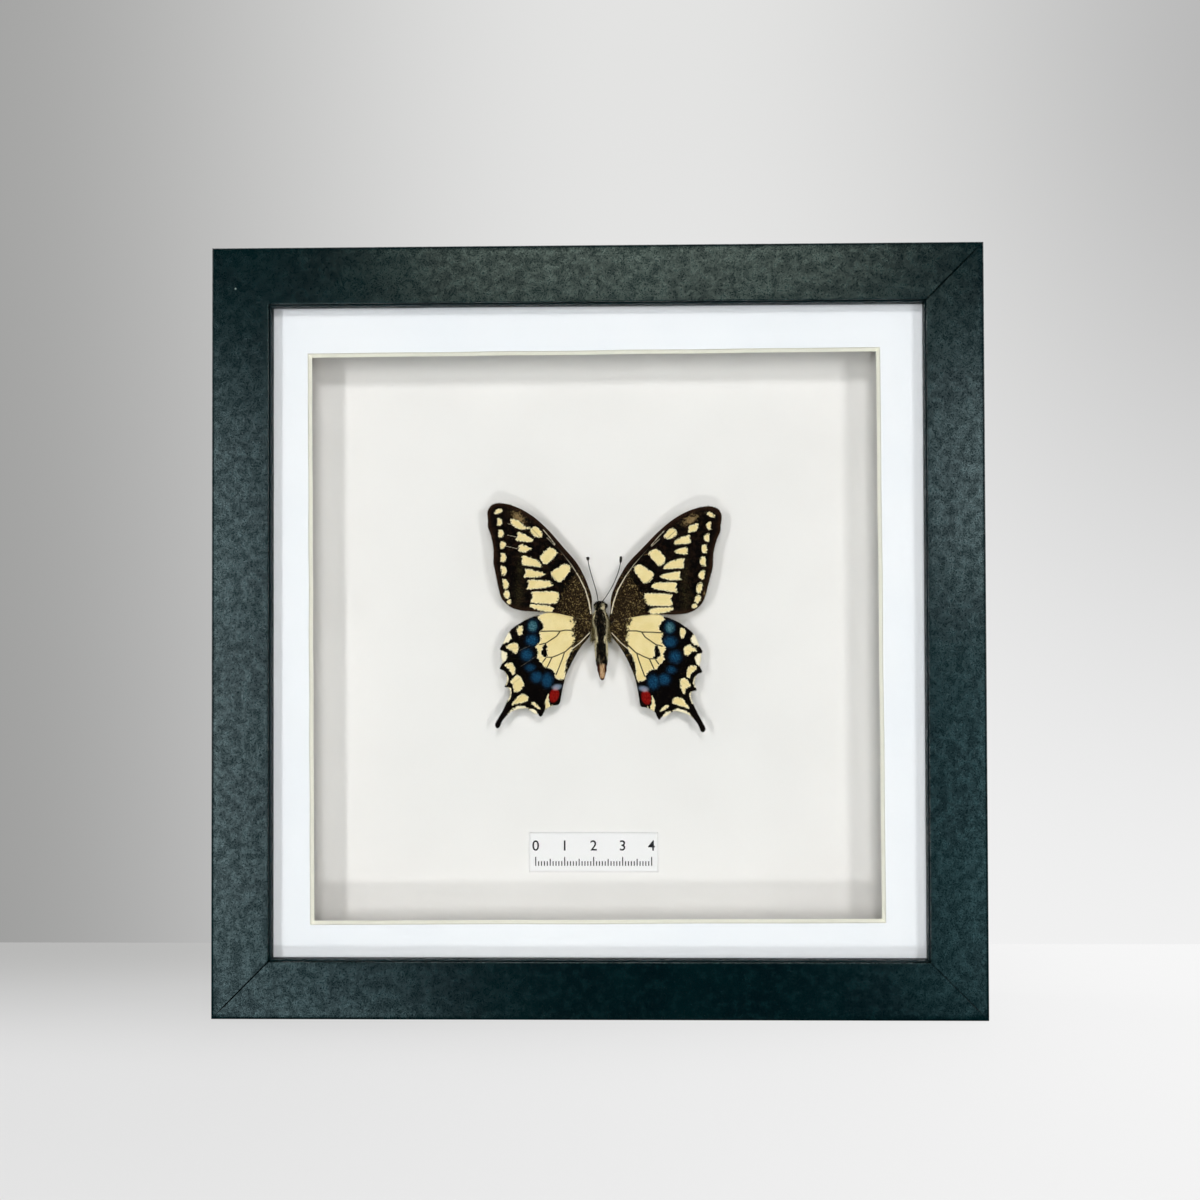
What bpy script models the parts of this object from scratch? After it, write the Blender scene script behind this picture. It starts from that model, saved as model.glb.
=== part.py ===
"""A spread swallowtail butterfly mounted in a deep square box frame.

Metres, +Z up. The front faces -Y, X runs across the face, and the origin is the centre of the
frame's footprint. The frame is a mitred, rabbeted moulding. Its rabbet holds, from front to back,
the glass, a bevelled window mount, four spacer strips, the mount board that carries the specimen
and its label, and the back panel, which eight bent steel tabs keep in.
"""

import math

import bmesh
import bpy
from mathutils import Matrix, Vector

MM = 0.001

# The frame.
FRAME_SIDE = 250 * MM
FRAME_DEPTH = 50 * MM
FACE_WIDTH = 18.5 * MM
WALL_THICKNESS = 11 * MM
LIP_DEPTH = 9 * MM
ARRIS_RADIUS = 0.8 * MM
ARRIS_STEPS = 3

# What lies in the rabbet, front to back, each a small clearance behind the one before.
CLEARANCE = 0.3 * MM
SHEET_SIDE = FRAME_SIDE - 2 * WALL_THICKNESS - 1 * MM
GLASS_THICKNESS = 2 * MM
MOUNT_THICKNESS = 1.5 * MM
SPACER_DEPTH = 27.5 * MM
SPACER_THICKNESS = 8 * MM
BOARD_THICKNESS = 2 * MM
PANEL_THICKNESS = 2.5 * MM

# The window mount's opening at its back face. It was cut slightly off the square.
WINDOW_WIDTH = 186.5 * MM
WINDOW_HEIGHT = 185.5 * MM
WINDOW_SHIFT = (-0.95 * MM, -1.8 * MM)
WINDOW_TURN = math.radians(0.25)

# The label on the mount board.
LABEL_WIDTH = 44.6 * MM
LABEL_HEIGHT = 13.8 * MM
LABEL_THICKNESS = 0.3 * MM
LABEL_CENTRE = (-2.4 * MM, 48.7 * MM)

# The specimen. Its outlines are drawn in millimetres at a span of 82, u out from the body's
# axis and v up from the middle of the thorax, and then brought to its real wingspan.
DRAWN_SPAN = 82.0
WINGSPAN = 79.4 * MM
SPECIMEN_CENTRE = (0.6 * MM, 124.6 * MM)
WING_HEIGHT = 11.5 * MM
WING_THICKNESS = 0.4 * MM
BODY_TILT = math.radians(1.5)
BODY_SIDES = 20
PAD_RADIUS = 2.2 * MM
ANTENNA_RADIUS = 0.16 * MM
ANTENNA_POINTS = 12

# The steel tabs that keep the back in, two on each rail.
TAB_SPACING = 120 * MM
TAB_WIDTH = 10 * MM
TAB_THICKNESS = 0.5 * MM
TAB_SEAT = 4.5 * MM
TAB_REACH = 7 * MM
TAB_TIP = 2.5 * MM
TAB_TIP_RISE = 0.8 * MM

# The sawtooth hanger riveted to the back panel.
HANGER_LENGTH = 44 * MM
HANGER_BRIDGE = 26 * MM
HANGER_STEP = 2 * MM
HANGER_HEIGHT = 8 * MM
HANGER_THICKNESS = 0.6 * MM
HANGER_RISE = 1.6 * MM
HANGER_TEETH = 9
HANGER_TOOTH_DEPTH = 1.6 * MM
HANGER_DROP = 26 * MM
PIN_RADIUS = 0.8 * MM
PIN_HEAD_RADIUS = 2 * MM
PIN_HEAD_HEIGHT = 0.9 * MM
PIN_SIDES = 16

CENTRE_Z = FRAME_SIDE / 2
FRONT_Y = -FRAME_DEPTH / 2
GLASS_Y = FRONT_Y + LIP_DEPTH + CLEARANCE
MOUNT_Y = GLASS_Y + GLASS_THICKNESS + CLEARANCE
SPACER_Y = MOUNT_Y + MOUNT_THICKNESS + CLEARANCE
BOARD_Y = SPACER_Y + SPACER_DEPTH + CLEARANCE
PANEL_Y = BOARD_Y + BOARD_THICKNESS + CLEARANCE
PANEL_BACK_Y = PANEL_Y + PANEL_THICKNESS
TAB_Y = PANEL_BACK_Y + CLEARANCE
WING_Y = BOARD_Y - WING_HEIGHT

# The right forewing, from its root along the leading edge, round the tip and back.
FOREWING = [
    (3.4, 7.5), (3.6, 12.0), (5.0, 16.0), (7.3, 20.6), (10.0, 24.6), (15.0, 29.8), (20.0, 34.9),
    (25.0, 39.1), (30.0, 42.0), (34.5, 43.5), (38.2, 43.9), (40.4, 43.4), (41.7, 42.3),
    (42.4, 40.3), (42.0, 37.2), (41.9, 35.2), (40.8, 32.6), (40.0, 30.0), (39.4, 26.8),
    (39.2, 22.6), (38.3, 19.2), (37.5, 16.0), (36.8, 13.4), (35.8, 10.6), (34.2, 8.6),
    (32.0, 7.2), (29.0, 6.3), (24.0, 6.1), (17.0, 6.1), (10.0, 5.0), (3.4, 4.3),
]
# The right hindwing, from its root along the leading edge, round the teeth and the tail.
HINDWING = [
    (3.4, 3.6), (10.0, 5.6), (17.0, 6.6), (23.0, 5.1), (26.5, 3.7), (29.2, 2.0), (31.1, 0.6),
    (32.4, -1.0), (33.7, -3.0), (34.6, -5.1), (35.4, -6.9), (35.2, -8.6), (35.1, -11.2),
    (35.1, -13.9), (34.0, -15.6), (33.3, -17.6), (33.0, -20.3), (31.9, -21.2), (31.6, -23.6),
    (33.5, -28.0), (35.3, -31.4), (36.4, -33.6), (36.2, -34.7), (35.6, -35.1), (34.9, -34.6),
    (33.9, -32.4), (32.2, -30.2), (30.0, -28.6), (26.2, -27.7), (24.6, -28.1), (22.6, -29.5),
    (20.6, -30.4), (19.7, -29.8), (18.6, -27.9), (16.2, -26.5), (13.9, -25.8), (13.2, -22.4),
    (12.5, -18.6), (11.2, -14.0), (8.8, -8.8), (6.4, -4.9), (3.4, -0.6),
]
# How each wing of the left pair was set: turned up about the root, and seen a little shorter.
LEFT_FOREWING_TURN = math.radians(3.4)
LEFT_HINDWING_TURN = math.radians(1.8)
LEFT_WING_SCALE = 0.987
WING_ROOT = (3.0, 4.0)

# Half the body's width, from the tip of the abdomen up to the top of the head.
BODY_PROFILE = [
    (0.0, -16.9), (1.0, -16.6), (1.6, -15.2), (1.7, -12.5), (1.9, -10.0), (2.2, -7.0),
    (2.3, -4.0), (2.1, -2.0), (2.4, -0.6), (2.8, 1.5), (2.9, 4.0), (2.6, 6.0), (1.7, 7.5),
    (2.0, 8.6), (2.1, 9.6), (1.3, 10.6), (0.0, 11.0),
]
# Each antenna is one cubic curve: its start, two handles and its tip.
ANTENNAE = {
    "antenna_left": [(-0.9, 11.6), (-1.4, 16.0), (-4.2, 21.0), (-4.5, 26.4)],
    "antenna_right": [(0.5, 11.6), (4.6, 15.8), (7.2, 22.0), (7.1, 26.6)],
}
CLUB_SHARE = 0.82
CLUB_SWELL = 2.6


def clear_scene():
    for old in list(bpy.data.objects):
        bpy.data.objects.remove(old)


def new_collection(name):
    collection = bpy.data.collections.new(name)
    bpy.context.scene.collection.children.link(collection)
    return collection


def material(name, colour, roughness, metallic=0.0):
    made = bpy.data.materials.new(name)
    made.use_nodes = True
    shader = made.node_tree.nodes["Principled BSDF"]
    shader.inputs["Base Color"].default_value = (*colour, 1.0)
    shader.inputs["Roughness"].default_value = roughness
    shader.inputs["Metallic"].default_value = metallic
    return made


def add_object(name, data, collection, finish=None):
    made = bpy.data.objects.new(name, data)
    collection.objects.link(made)
    if finish is not None:
        data.materials.append(finish)
    return made


def mesh_from(bm, name):
    bmesh.ops.recalc_face_normals(bm, faces=bm.faces)
    mesh = bpy.data.meshes.new(name)
    bm.to_mesh(mesh)
    bm.free()
    return mesh


def box(name, size, centre, collection, finish=None):
    """A box with its size in its mesh and its place in its object's location."""
    bm = bmesh.new()
    bmesh.ops.create_cube(bm, size=1.0)
    bmesh.ops.scale(bm, vec=size, verts=bm.verts)
    made = add_object(name, mesh_from(bm, name), collection, finish)
    made.location = centre
    return made


def sheet(name, front_y, thickness, collection, finish):
    """A full sheet of the rabbet's size whose front face is at front_y."""
    size = (SHEET_SIDE, thickness, SHEET_SIDE)
    return box(name, size, (0, front_y + thickness / 2, CENTRE_Z), collection, finish)


def cut(target, cutter):
    """Takes the cutter out of the target."""
    cutter.hide_render = True
    cutter.display_type = "WIRE"
    made = target.modifiers.new(cutter.name, "BOOLEAN")
    made.operation = "DIFFERENCE"
    made.solver = "EXACT"
    made.object = cutter


def rounded_corner(corner, before, after):
    """The points of an arc of the arris radius that replaces one square corner."""
    corner = Vector(corner)
    to_before = (Vector(before) - corner).normalized()
    to_after = (Vector(after) - corner).normalized()
    centre = corner + (to_before + to_after) * ARRIS_RADIUS
    points = []
    for step in range(ARRIS_STEPS + 1):
        angle = math.pi / 2 * step / ARRIS_STEPS
        reach = to_after * math.cos(angle) + to_before * math.sin(angle)
        points.append(centre - reach * ARRIS_RADIUS)
    return points


def rail_profile():
    """The moulding's section as (y, inward) points: a face with a lip, and a wall behind it."""
    back_y = FRAME_DEPTH / 2
    lip_y = FRONT_Y + LIP_DEPTH
    outer_front = (FRONT_Y, 0)
    outer_back = (back_y, 0)
    inner_back = (back_y, WALL_THICKNESS)
    inner_lip = (lip_y, WALL_THICKNESS)
    sight_back = (lip_y, FACE_WIDTH)
    sight_front = (FRONT_Y, FACE_WIDTH)
    profile = rounded_corner(outer_front, sight_front, outer_back)
    profile += rounded_corner(outer_back, outer_front, inner_back)
    profile += [inner_back, inner_lip, sight_back]
    profile += rounded_corner(sight_front, sight_back, outer_front)
    return profile


def rail_mesh():
    """The bottom rail about the frame's centre: its section drawn out along X, mitred twice."""
    bm = bmesh.new()
    overrun = FRAME_SIDE / 2 + 10 * MM
    ring = [bm.verts.new((-overrun, y, inward - CENTRE_Z)) for y, inward in rail_profile()]
    section = bm.faces.new(ring)
    drawn = bmesh.ops.extrude_face_region(bm, geom=[section])
    far_end = [item for item in drawn["geom"] if isinstance(item, bmesh.types.BMVert)]
    bmesh.ops.translate(bm, verts=far_end, vec=(2 * overrun, 0, 0))
    for side in (-1, 1):
        normal = Vector((side, 0, 1)).normalized()
        sliced = bmesh.ops.bisect_plane(
            bm,
            geom=bm.verts[:] + bm.edges[:] + bm.faces[:],
            plane_co=-normal * CLEARANCE / 2,
            plane_no=normal,
            clear_outer=True,
        )
        rim = [item for item in sliced["geom_cut"] if isinstance(item, bmesh.types.BMEdge)]
        bmesh.ops.contextual_create(bm, geom=rim)
    return mesh_from(bm, "rail")


def build_rails(parts, cutters, finish):
    """Four mitred rails, each with two slots in its inner wall for the steel tabs."""
    for index, name in enumerate(("bottom", "right", "top", "left")):
        turn = -index * math.pi / 2
        rail = add_object(f"rail_{name}", rail_mesh(), parts, finish)
        rail.location = (0, 0, CENTRE_Z)
        rail.rotation_euler = (0, turn, 0)
        for side in (-1, 1):
            slot_size = (
                TAB_WIDTH + 2 * CLEARANCE,
                TAB_THICKNESS + 2 * CLEARANCE,
                2 * (TAB_SEAT + CLEARANCE),
            )
            slot_name = f"slot_{name}_{'a' if side < 0 else 'b'}"
            slot = box(slot_name, slot_size, (0, 0, 0), cutters)
            place = Vector((
                side * TAB_SPACING / 2,
                TAB_Y + TAB_THICKNESS / 2,
                WALL_THICKNESS - CENTRE_Z,
            ))
            slot.location = Matrix.Rotation(turn, 4, "Y") @ place + Vector((0, 0, CENTRE_Z))
            slot.rotation_euler = (0, turn, 0)
            cut(rail, slot)


def build_tabs(parts, finish):
    """Eight bent strips of sheet steel, seated in the rails' slots and lying over the panel."""
    seat_z = WALL_THICKNESS - CENTRE_Z
    centre_line = [
        (0, seat_z - TAB_SEAT),
        (0, seat_z + TAB_REACH),
        (TAB_TIP_RISE, seat_z + TAB_REACH + TAB_TIP),
    ]
    for index, name in enumerate(("bottom", "right", "top", "left")):
        turn = -index * math.pi / 2
        for side in (-1, 1):
            bm = bmesh.new()
            rows = []
            for x in (-TAB_WIDTH / 2, TAB_WIDTH / 2):
                rows.append([bm.verts.new((x, y, z)) for y, z in centre_line])
            for start, end in zip(range(2), range(1, 3)):
                bm.faces.new((rows[0][start], rows[1][start], rows[1][end], rows[0][end]))
            tab_name = f"tab_{name}_{'a' if side < 0 else 'b'}"
            tab = add_object(tab_name, mesh_from(bm, tab_name), parts, finish)
            thicken = tab.modifiers.new("thickness", "SOLIDIFY")
            thicken.thickness = TAB_THICKNESS
            thicken.offset = 0
            place = Vector((side * TAB_SPACING / 2, TAB_Y + TAB_THICKNESS / 2, 0))
            tab.location = Matrix.Rotation(turn, 4, "Y") @ place + Vector((0, 0, CENTRE_Z))
            tab.rotation_euler = (0, turn, 0)


def build_window_mount(parts, cutters, finish):
    """A sheet with a bevelled window: the opening is wider at the front by its thickness."""
    mount = sheet("window_mount", MOUNT_Y, MOUNT_THICKNESS, parts, finish)
    bm = bmesh.new()
    bmesh.ops.create_cube(bm, size=1.0)
    depth = 3 * MOUNT_THICKNESS
    bmesh.ops.scale(bm, vec=(WINDOW_WIDTH, depth, WINDOW_HEIGHT), verts=bm.verts)
    for vert in bm.verts:
        flare = MOUNT_THICKNESS / 2 - vert.co.y
        vert.co.x += math.copysign(flare, vert.co.x)
        vert.co.z += math.copysign(flare, vert.co.z)
    window = add_object("window", mesh_from(bm, "window"), cutters)
    window.location = (
        WINDOW_SHIFT[0],
        MOUNT_Y + MOUNT_THICKNESS / 2,
        CENTRE_Z + WINDOW_SHIFT[1],
    )
    window.rotation_euler = (0, -WINDOW_TURN, 0)
    cut(mount, window)


def build_spacers(parts, finish):
    """Four strips on edge that hold the mount board off the window mount."""
    middle_y = SPACER_Y + SPACER_DEPTH / 2
    offset = (SHEET_SIDE - SPACER_THICKNESS) / 2
    upright = SHEET_SIDE - 2 * SPACER_THICKNESS - 2 * CLEARANCE
    for name, side in (("bottom", -1), ("top", 1)):
        size = (SHEET_SIDE, SPACER_DEPTH, SPACER_THICKNESS)
        centre = (0, middle_y, CENTRE_Z + side * offset)
        box(f"spacer_{name}", size, centre, parts, finish)
    for name, side in (("left", -1), ("right", 1)):
        size = (SPACER_THICKNESS, SPACER_DEPTH, upright)
        centre = (side * offset, middle_y, CENTRE_Z)
        box(f"spacer_{name}", size, centre, parts, finish)


def build_label(parts, finish):
    size = (LABEL_WIDTH, LABEL_THICKNESS, LABEL_HEIGHT)
    middle_y = BOARD_Y - CLEARANCE - LABEL_THICKNESS / 2
    box("label", size, (LABEL_CENTRE[0], middle_y, LABEL_CENTRE[1]), parts, finish)


def drawn(value):
    """A length drawn at the outlines' span, in metres at the specimen's real wingspan."""
    return value * WINGSPAN / DRAWN_SPAN


def specimen_frame(parts):
    """An empty whose X and Y are the outlines' u and v, and whose Z stands off the board."""
    empty = bpy.data.objects.new("specimen", None)
    parts.objects.link(empty)
    empty.location = (SPECIMEN_CENTRE[0], WING_Y, SPECIMEN_CENTRE[1])
    empty.rotation_euler = (math.pi / 2, 0, 0)
    return empty


def posed_left(outline, turn):
    """A right wing's outline mirrored to the left side, turned up and shortened at its root."""
    points = []
    root_u, root_v = WING_ROOT
    for u, v in outline:
        du = (u - root_u) * LEFT_WING_SCALE
        dv = (v - root_v) * LEFT_WING_SCALE
        turned_u = du * math.cos(turn) - dv * math.sin(turn)
        turned_v = du * math.sin(turn) + dv * math.cos(turn)
        points.append((-max(root_u + turned_u, outline[0][0]), root_v + turned_v))
    return points


def wing(name, outline, height, specimen, parts, finish):
    """A flat plate with the wing's outline, standing off the specimen's middle plane."""
    curve = bpy.data.curves.new(name, "CURVE")
    curve.dimensions = "2D"
    curve.fill_mode = "BOTH"
    curve.extrude = WING_THICKNESS / 2
    spline = curve.splines.new("POLY")
    spline.points.add(len(outline) - 1)
    for point, (u, v) in zip(spline.points, outline):
        point.co = (drawn(u), drawn(v), 0, 1)
    spline.use_cyclic_u = True
    made = add_object(name, curve, parts, finish)
    made.parent = specimen
    made.location = (0, 0, height)


def build_wings(specimen, parts, finish):
    """The forewings lie over the hindwings, a clearance apart."""
    step = (WING_THICKNESS + CLEARANCE) / 2
    wing("forewing_right", FOREWING, step, specimen, parts, finish)
    wing("hindwing_right", HINDWING, -step, specimen, parts, finish)
    left_forewing = posed_left(FOREWING, LEFT_FOREWING_TURN)
    left_hindwing = posed_left(HINDWING, LEFT_HINDWING_TURN)
    wing("forewing_left", left_forewing, step, specimen, parts, finish)
    wing("hindwing_left", left_hindwing, -step, specimen, parts, finish)


def turned(name, profile, sides, collection, finish):
    """A solid of revolution about its own Z from (radius, height) points, top to bottom."""
    bm = bmesh.new()
    verts = [bm.verts.new((radius, 0, height)) for radius, height in profile]
    for first, second in zip(verts, verts[1:]):
        bm.edges.new((first, second))
    mesh = bpy.data.meshes.new(name)
    bm.to_mesh(mesh)
    bm.free()
    made = add_object(name, mesh, collection, finish)
    spin = made.modifiers.new("turned", "SCREW")
    spin.steps = sides
    spin.render_steps = sides
    spin.use_merge_vertices = True
    spin.merge_threshold = 1e-5
    return made


def build_body(specimen, parts, finish):
    """Head, thorax and abdomen in one turned form, tipped a little within the board's plane."""
    profile = [(drawn(radius), drawn(v)) for radius, v in reversed(BODY_PROFILE)]
    body = turned("butterfly_body", profile, BODY_SIDES, parts, finish)
    body.parent = specimen
    body.location = (0, 0, -CLEARANCE)
    body.rotation_euler = (-math.pi / 2, BODY_TILT, 0)


def build_pad(parts, finish):
    """A small disc that the thorax is fixed to, standing on the mount board."""
    thorax_back = WING_Y + CLEARANCE + drawn(max(radius for radius, _ in BODY_PROFILE))
    front = thorax_back + CLEARANCE
    back = BOARD_Y - CLEARANCE
    bm = bmesh.new()
    bmesh.ops.create_cone(
        bm,
        cap_ends=True,
        segments=16,
        radius1=PAD_RADIUS,
        radius2=PAD_RADIUS,
        depth=back - front,
    )
    pad = add_object("specimen_pad", mesh_from(bm, "specimen_pad"), parts, finish)
    pad.location = (SPECIMEN_CENTRE[0], (front + back) / 2, SPECIMEN_CENTRE[1] + drawn(4))
    pad.rotation_euler = (math.pi / 2, 0, 0)


def cubic(points, share):
    """The point at this share of the way along a cubic curve with two handles."""
    rest = 1 - share
    weights = (rest**3, 3 * rest**2 * share, 3 * rest * share**2, share**3)
    u = sum(weight * point[0] for weight, point in zip(weights, points))
    v = sum(weight * point[1] for weight, point in zip(weights, points))
    return drawn(u), drawn(v)


def build_antennae(specimen, parts, finish):
    """Fine threads from the head, each swelling to a club over its last stretch."""
    for name, handles in ANTENNAE.items():
        curve = bpy.data.curves.new(name, "CURVE")
        curve.dimensions = "3D"
        curve.bevel_depth = ANTENNA_RADIUS
        curve.bevel_resolution = 2
        curve.use_fill_caps = True
        spline = curve.splines.new("POLY")
        spline.points.add(ANTENNA_POINTS - 1)
        for index, point in enumerate(spline.points):
            share = index / (ANTENNA_POINTS - 1)
            u, v = cubic(handles, share)
            point.co = (u, v, 0, 1)
            point.radius = CLUB_SWELL if share > CLUB_SHARE else 1.0
        antenna = add_object(name, curve, parts, finish)
        antenna.parent = specimen


def build_hanger(parts, cutters, steel, panel):
    """A bridged strip with saw teeth under its bridge, held to the panel by two rivets."""
    base_y = PANEL_BACK_Y + CLEARANCE + HANGER_THICKNESS / 2
    half = HANGER_LENGTH / 2
    foot = HANGER_BRIDGE / 2 + HANGER_STEP
    section = [
        (-half, 0),
        (-foot, 0),
        (-HANGER_BRIDGE / 2, HANGER_RISE),
        (HANGER_BRIDGE / 2, HANGER_RISE),
        (foot, 0),
        (half, 0),
    ]
    bm = bmesh.new()
    rows = []
    for z in (-HANGER_HEIGHT / 2, HANGER_HEIGHT / 2):
        rows.append([bm.verts.new((x, y, z)) for x, y in section])
    for start in range(len(section) - 1):
        end = start + 1
        bm.faces.new((rows[0][start], rows[0][end], rows[1][end], rows[1][start]))
    strip = add_object("hanger", mesh_from(bm, "hanger"), parts, steel)
    thicken = strip.modifiers.new("thickness", "SOLIDIFY")
    thicken.thickness = HANGER_THICKNESS
    thicken.offset = 0
    hanger_z = FRAME_SIDE - WALL_THICKNESS - HANGER_DROP
    strip.location = (0, base_y, hanger_z)

    pitch = HANGER_BRIDGE / (HANGER_TEETH + 1)
    reach = HANGER_RISE + 2 * HANGER_THICKNESS
    for index in range(HANGER_TEETH):
        bm = bmesh.new()
        bmesh.ops.create_cone(
            bm,
            cap_ends=True,
            segments=3,
            radius1=HANGER_TOOTH_DEPTH,
            radius2=HANGER_TOOTH_DEPTH,
            depth=reach,
        )
        notch = add_object(f"notch_{index}", mesh_from(bm, "notch"), cutters)
        notch.location = (
            (index - (HANGER_TEETH - 1) / 2) * pitch,
            base_y + HANGER_RISE,
            hanger_z - HANGER_HEIGHT / 2,
        )
        notch.rotation_euler = (math.pi / 2, 0, 0)
        cut(strip, notch)

    head_y = PANEL_BACK_Y + 2 * CLEARANCE + HANGER_THICKNESS
    shank_end = PANEL_Y + CLEARANCE
    profile = [(0, PIN_HEAD_HEIGHT)]
    for step in range(1, 5):
        angle = math.pi / 2 * step / 4
        height = PIN_HEAD_HEIGHT * math.cos(angle)
        profile.append((PIN_HEAD_RADIUS * math.sin(angle), height))
    profile += [(PIN_RADIUS, 0), (PIN_RADIUS, shank_end - head_y), (0, shank_end - head_y)]
    for name, side in (("left", -1), ("right", 1)):
        place = (side * (half + foot) / 2, head_y, hanger_z)
        pin = turned(f"hanger_pin_{name}", profile, PIN_SIDES, parts, steel)
        pin.location = place
        pin.rotation_euler = (-math.pi / 2, 0, 0)
        bm = bmesh.new()
        bmesh.ops.create_cone(
            bm,
            cap_ends=True,
            segments=PIN_SIDES,
            radius1=PIN_RADIUS + CLEARANCE,
            radius2=PIN_RADIUS + CLEARANCE,
            depth=FRAME_DEPTH / 4,
        )
        bore = add_object(f"bore_{name}", mesh_from(bm, "bore"), cutters)
        bore.location = place
        bore.rotation_euler = (math.pi / 2, 0, 0)
        cut(strip, bore)
        cut(panel, bore)


clear_scene()
parts = new_collection("framed_butterfly_specimen")
cutters = new_collection("cutters")

moulding = material("frame_moulding", (0.035, 0.055, 0.06), 0.45)
glazing = material("glazing", (0.95, 0.97, 0.97), 0.05)
window_card = material("window_card", (0.88, 0.88, 0.89), 0.85)
spacer_card = material("spacer_card", (0.8, 0.8, 0.78), 0.85)
board_card = material("board_card", (0.9, 0.9, 0.88), 0.85)
label_paper = material("label_paper", (0.85, 0.83, 0.77), 0.8)
pad_foam = material("pad_foam", (0.75, 0.75, 0.72), 0.9)
wing_scales = material("wing_scales", (0.35, 0.29, 0.16), 0.7)
body_hair = material("body_hair", (0.05, 0.04, 0.03), 0.9)
antenna_horn = material("antenna_horn", (0.03, 0.025, 0.02), 0.5)
hardboard = material("hardboard", (0.25, 0.15, 0.08), 0.8)
tab_steel = material("tab_steel", (0.6, 0.6, 0.6), 0.35, metallic=1.0)

build_rails(parts, cutters, moulding)
sheet("glass_pane", GLASS_Y, GLASS_THICKNESS, parts, glazing)
build_window_mount(parts, cutters, window_card)
build_spacers(parts, spacer_card)
sheet("mount_board", BOARD_Y, BOARD_THICKNESS, parts, board_card)
build_label(parts, label_paper)
build_pad(parts, pad_foam)
middle = specimen_frame(parts)
build_body(middle, parts, body_hair)
build_wings(middle, parts, wing_scales)
build_antennae(middle, parts, antenna_horn)
back_panel = sheet("back_panel", PANEL_Y, PANEL_THICKNESS, parts, hardboard)
build_tabs(parts, tab_steel)
build_hanger(parts, cutters, tab_steel, back_panel)
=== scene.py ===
"""A spread swallowtail in a deep, dark, square box frame, finished for close viewing.

Metres, +Z up, the face towards -Y. Each section below is one piece of the frame or of the
specimen, in the order in which they are put together: moulding, glass, window mount, spacers,
mount board, label, pad, wings, body, antennae, back. The studio comes last.
"""

import math

import bpy
import numpy as np
from mathutils import Matrix


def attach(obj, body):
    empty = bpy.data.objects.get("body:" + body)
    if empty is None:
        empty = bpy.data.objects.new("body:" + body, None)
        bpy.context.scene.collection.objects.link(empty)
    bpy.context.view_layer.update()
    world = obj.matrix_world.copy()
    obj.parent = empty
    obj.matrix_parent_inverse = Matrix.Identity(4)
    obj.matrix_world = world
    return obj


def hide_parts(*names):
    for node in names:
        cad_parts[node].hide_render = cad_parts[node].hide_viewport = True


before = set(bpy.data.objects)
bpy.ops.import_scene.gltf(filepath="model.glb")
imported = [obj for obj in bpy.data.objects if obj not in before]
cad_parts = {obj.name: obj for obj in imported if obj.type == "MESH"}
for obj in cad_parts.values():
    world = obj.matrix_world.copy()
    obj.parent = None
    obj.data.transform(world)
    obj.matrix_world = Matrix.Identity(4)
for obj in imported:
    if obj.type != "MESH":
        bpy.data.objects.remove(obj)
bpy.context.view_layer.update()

MM = 0.001

# ---------------------------------------------------------------------------------------------
# The moulding: four lengths of soft wood, sprayed a dark grey-green satin and joined by mitres.
# The face is flat between two small arrises. A quirk runs along the lip behind the sight edge. The
# lip wall is painted a paler green as if lit, and the quirk and the lip's back arris by the glass
# are painted near black as shade. The sight arris carries a pale line that is partly rubbed spray
# and partly painted highlight.

FRAME_SIDE = 250 * MM
FRAME_DEPTH = 50 * MM
FACE_WIDTH = 18.5 * MM
WALL = 11 * MM
LIP_DEPTH = 9 * MM
OUTER_ARRIS = 0.8 * MM
SIGHT_ARRIS = 0.3 * MM
LIP_ARRIS = 0.5 * MM
QUIRK_DEPTH = 0.45 * MM
QUIRK_START, QUIRK_END = 0.6 * MM, 3.6 * MM
MITRE_GAPS = (0.42 * MM, 0.26 * MM, 0.42 * MM, 0.0)
MITRE_OPEN = 5 * MM
MITRE_FADE = 3 * MM
RAIL_STEPS = 48
SHARP_ANGLE = math.radians(40)
PATTERN_SHIFT = 0.4
CHIP_PLACE = (-0.1172, -0.025, 0.2366)
CHIP_CORE, CHIP_RADIUS = 0.2 * MM, 0.35 * MM


def shade(red, green, blue):
    """A colour given on the display's 0 to 255 scale, as linear light."""
    steps = np.array([red, green, blue]) / 255
    linear = np.where(steps > 0.04045, ((steps + 0.055) / 1.055) ** 2.4, steps / 12.92)
    return (*linear, 1.0)


def new_finish(name, **values):
    """An empty finish: its material, its node tree and its shader with these values set."""
    made = bpy.data.materials.new(name)
    made.use_nodes = True
    shader = made.node_tree.nodes["Principled BSDF"]
    for socket, value in values.items():
        shader.inputs[socket.replace("_", " ")].default_value = value
    return made, made.node_tree, shader


def add_node(tree, kind, sockets, **settings):
    """A node with these settings, whose inputs take a value or another node's output."""
    made = tree.nodes.new("ShaderNode" + kind)
    for key, value in settings.items():
        setattr(made, key, value)
    for key, value in sockets.items():
        if isinstance(value, bpy.types.NodeSocket):
            tree.links.new(value, made.inputs[key])
        else:
            made.inputs[key].default_value = value
    return made.outputs


def object_point(tree, stretch=(1, 1, 1)):
    """The point in the frame's own metres, with each axis scaled."""
    place = add_node(tree, "TexCoord", {})["Object"]
    return add_node(tree, "Mapping", {"Vector": place, "Scale": stretch})[0]


def noise(tree, point, per_metre, detail=3.0, roughness=0.55):
    """Soft noise from 0 to 1 with this many lumps in a metre."""
    sockets = {"Vector": point, "Scale": per_metre, "Detail": detail, "Roughness": roughness}
    return add_node(tree, "TexNoise", sockets)[0]


def level(tree, value, low, high, start=0.0, end=1.0):
    """Start below low, end above high, and a smooth step between them."""
    sockets = {"Value": value, "From Min": low, "From Max": high, "To Min": start, "To Max": end}
    return add_node(tree, "MapRange", sockets, interpolation_type="SMOOTHSTEP")[0]


def maths(tree, operation, first, second=0.0):
    """Two values joined by an operation."""
    return add_node(tree, "Math", {0: first, 1: second}, operation=operation)[0]


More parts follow.
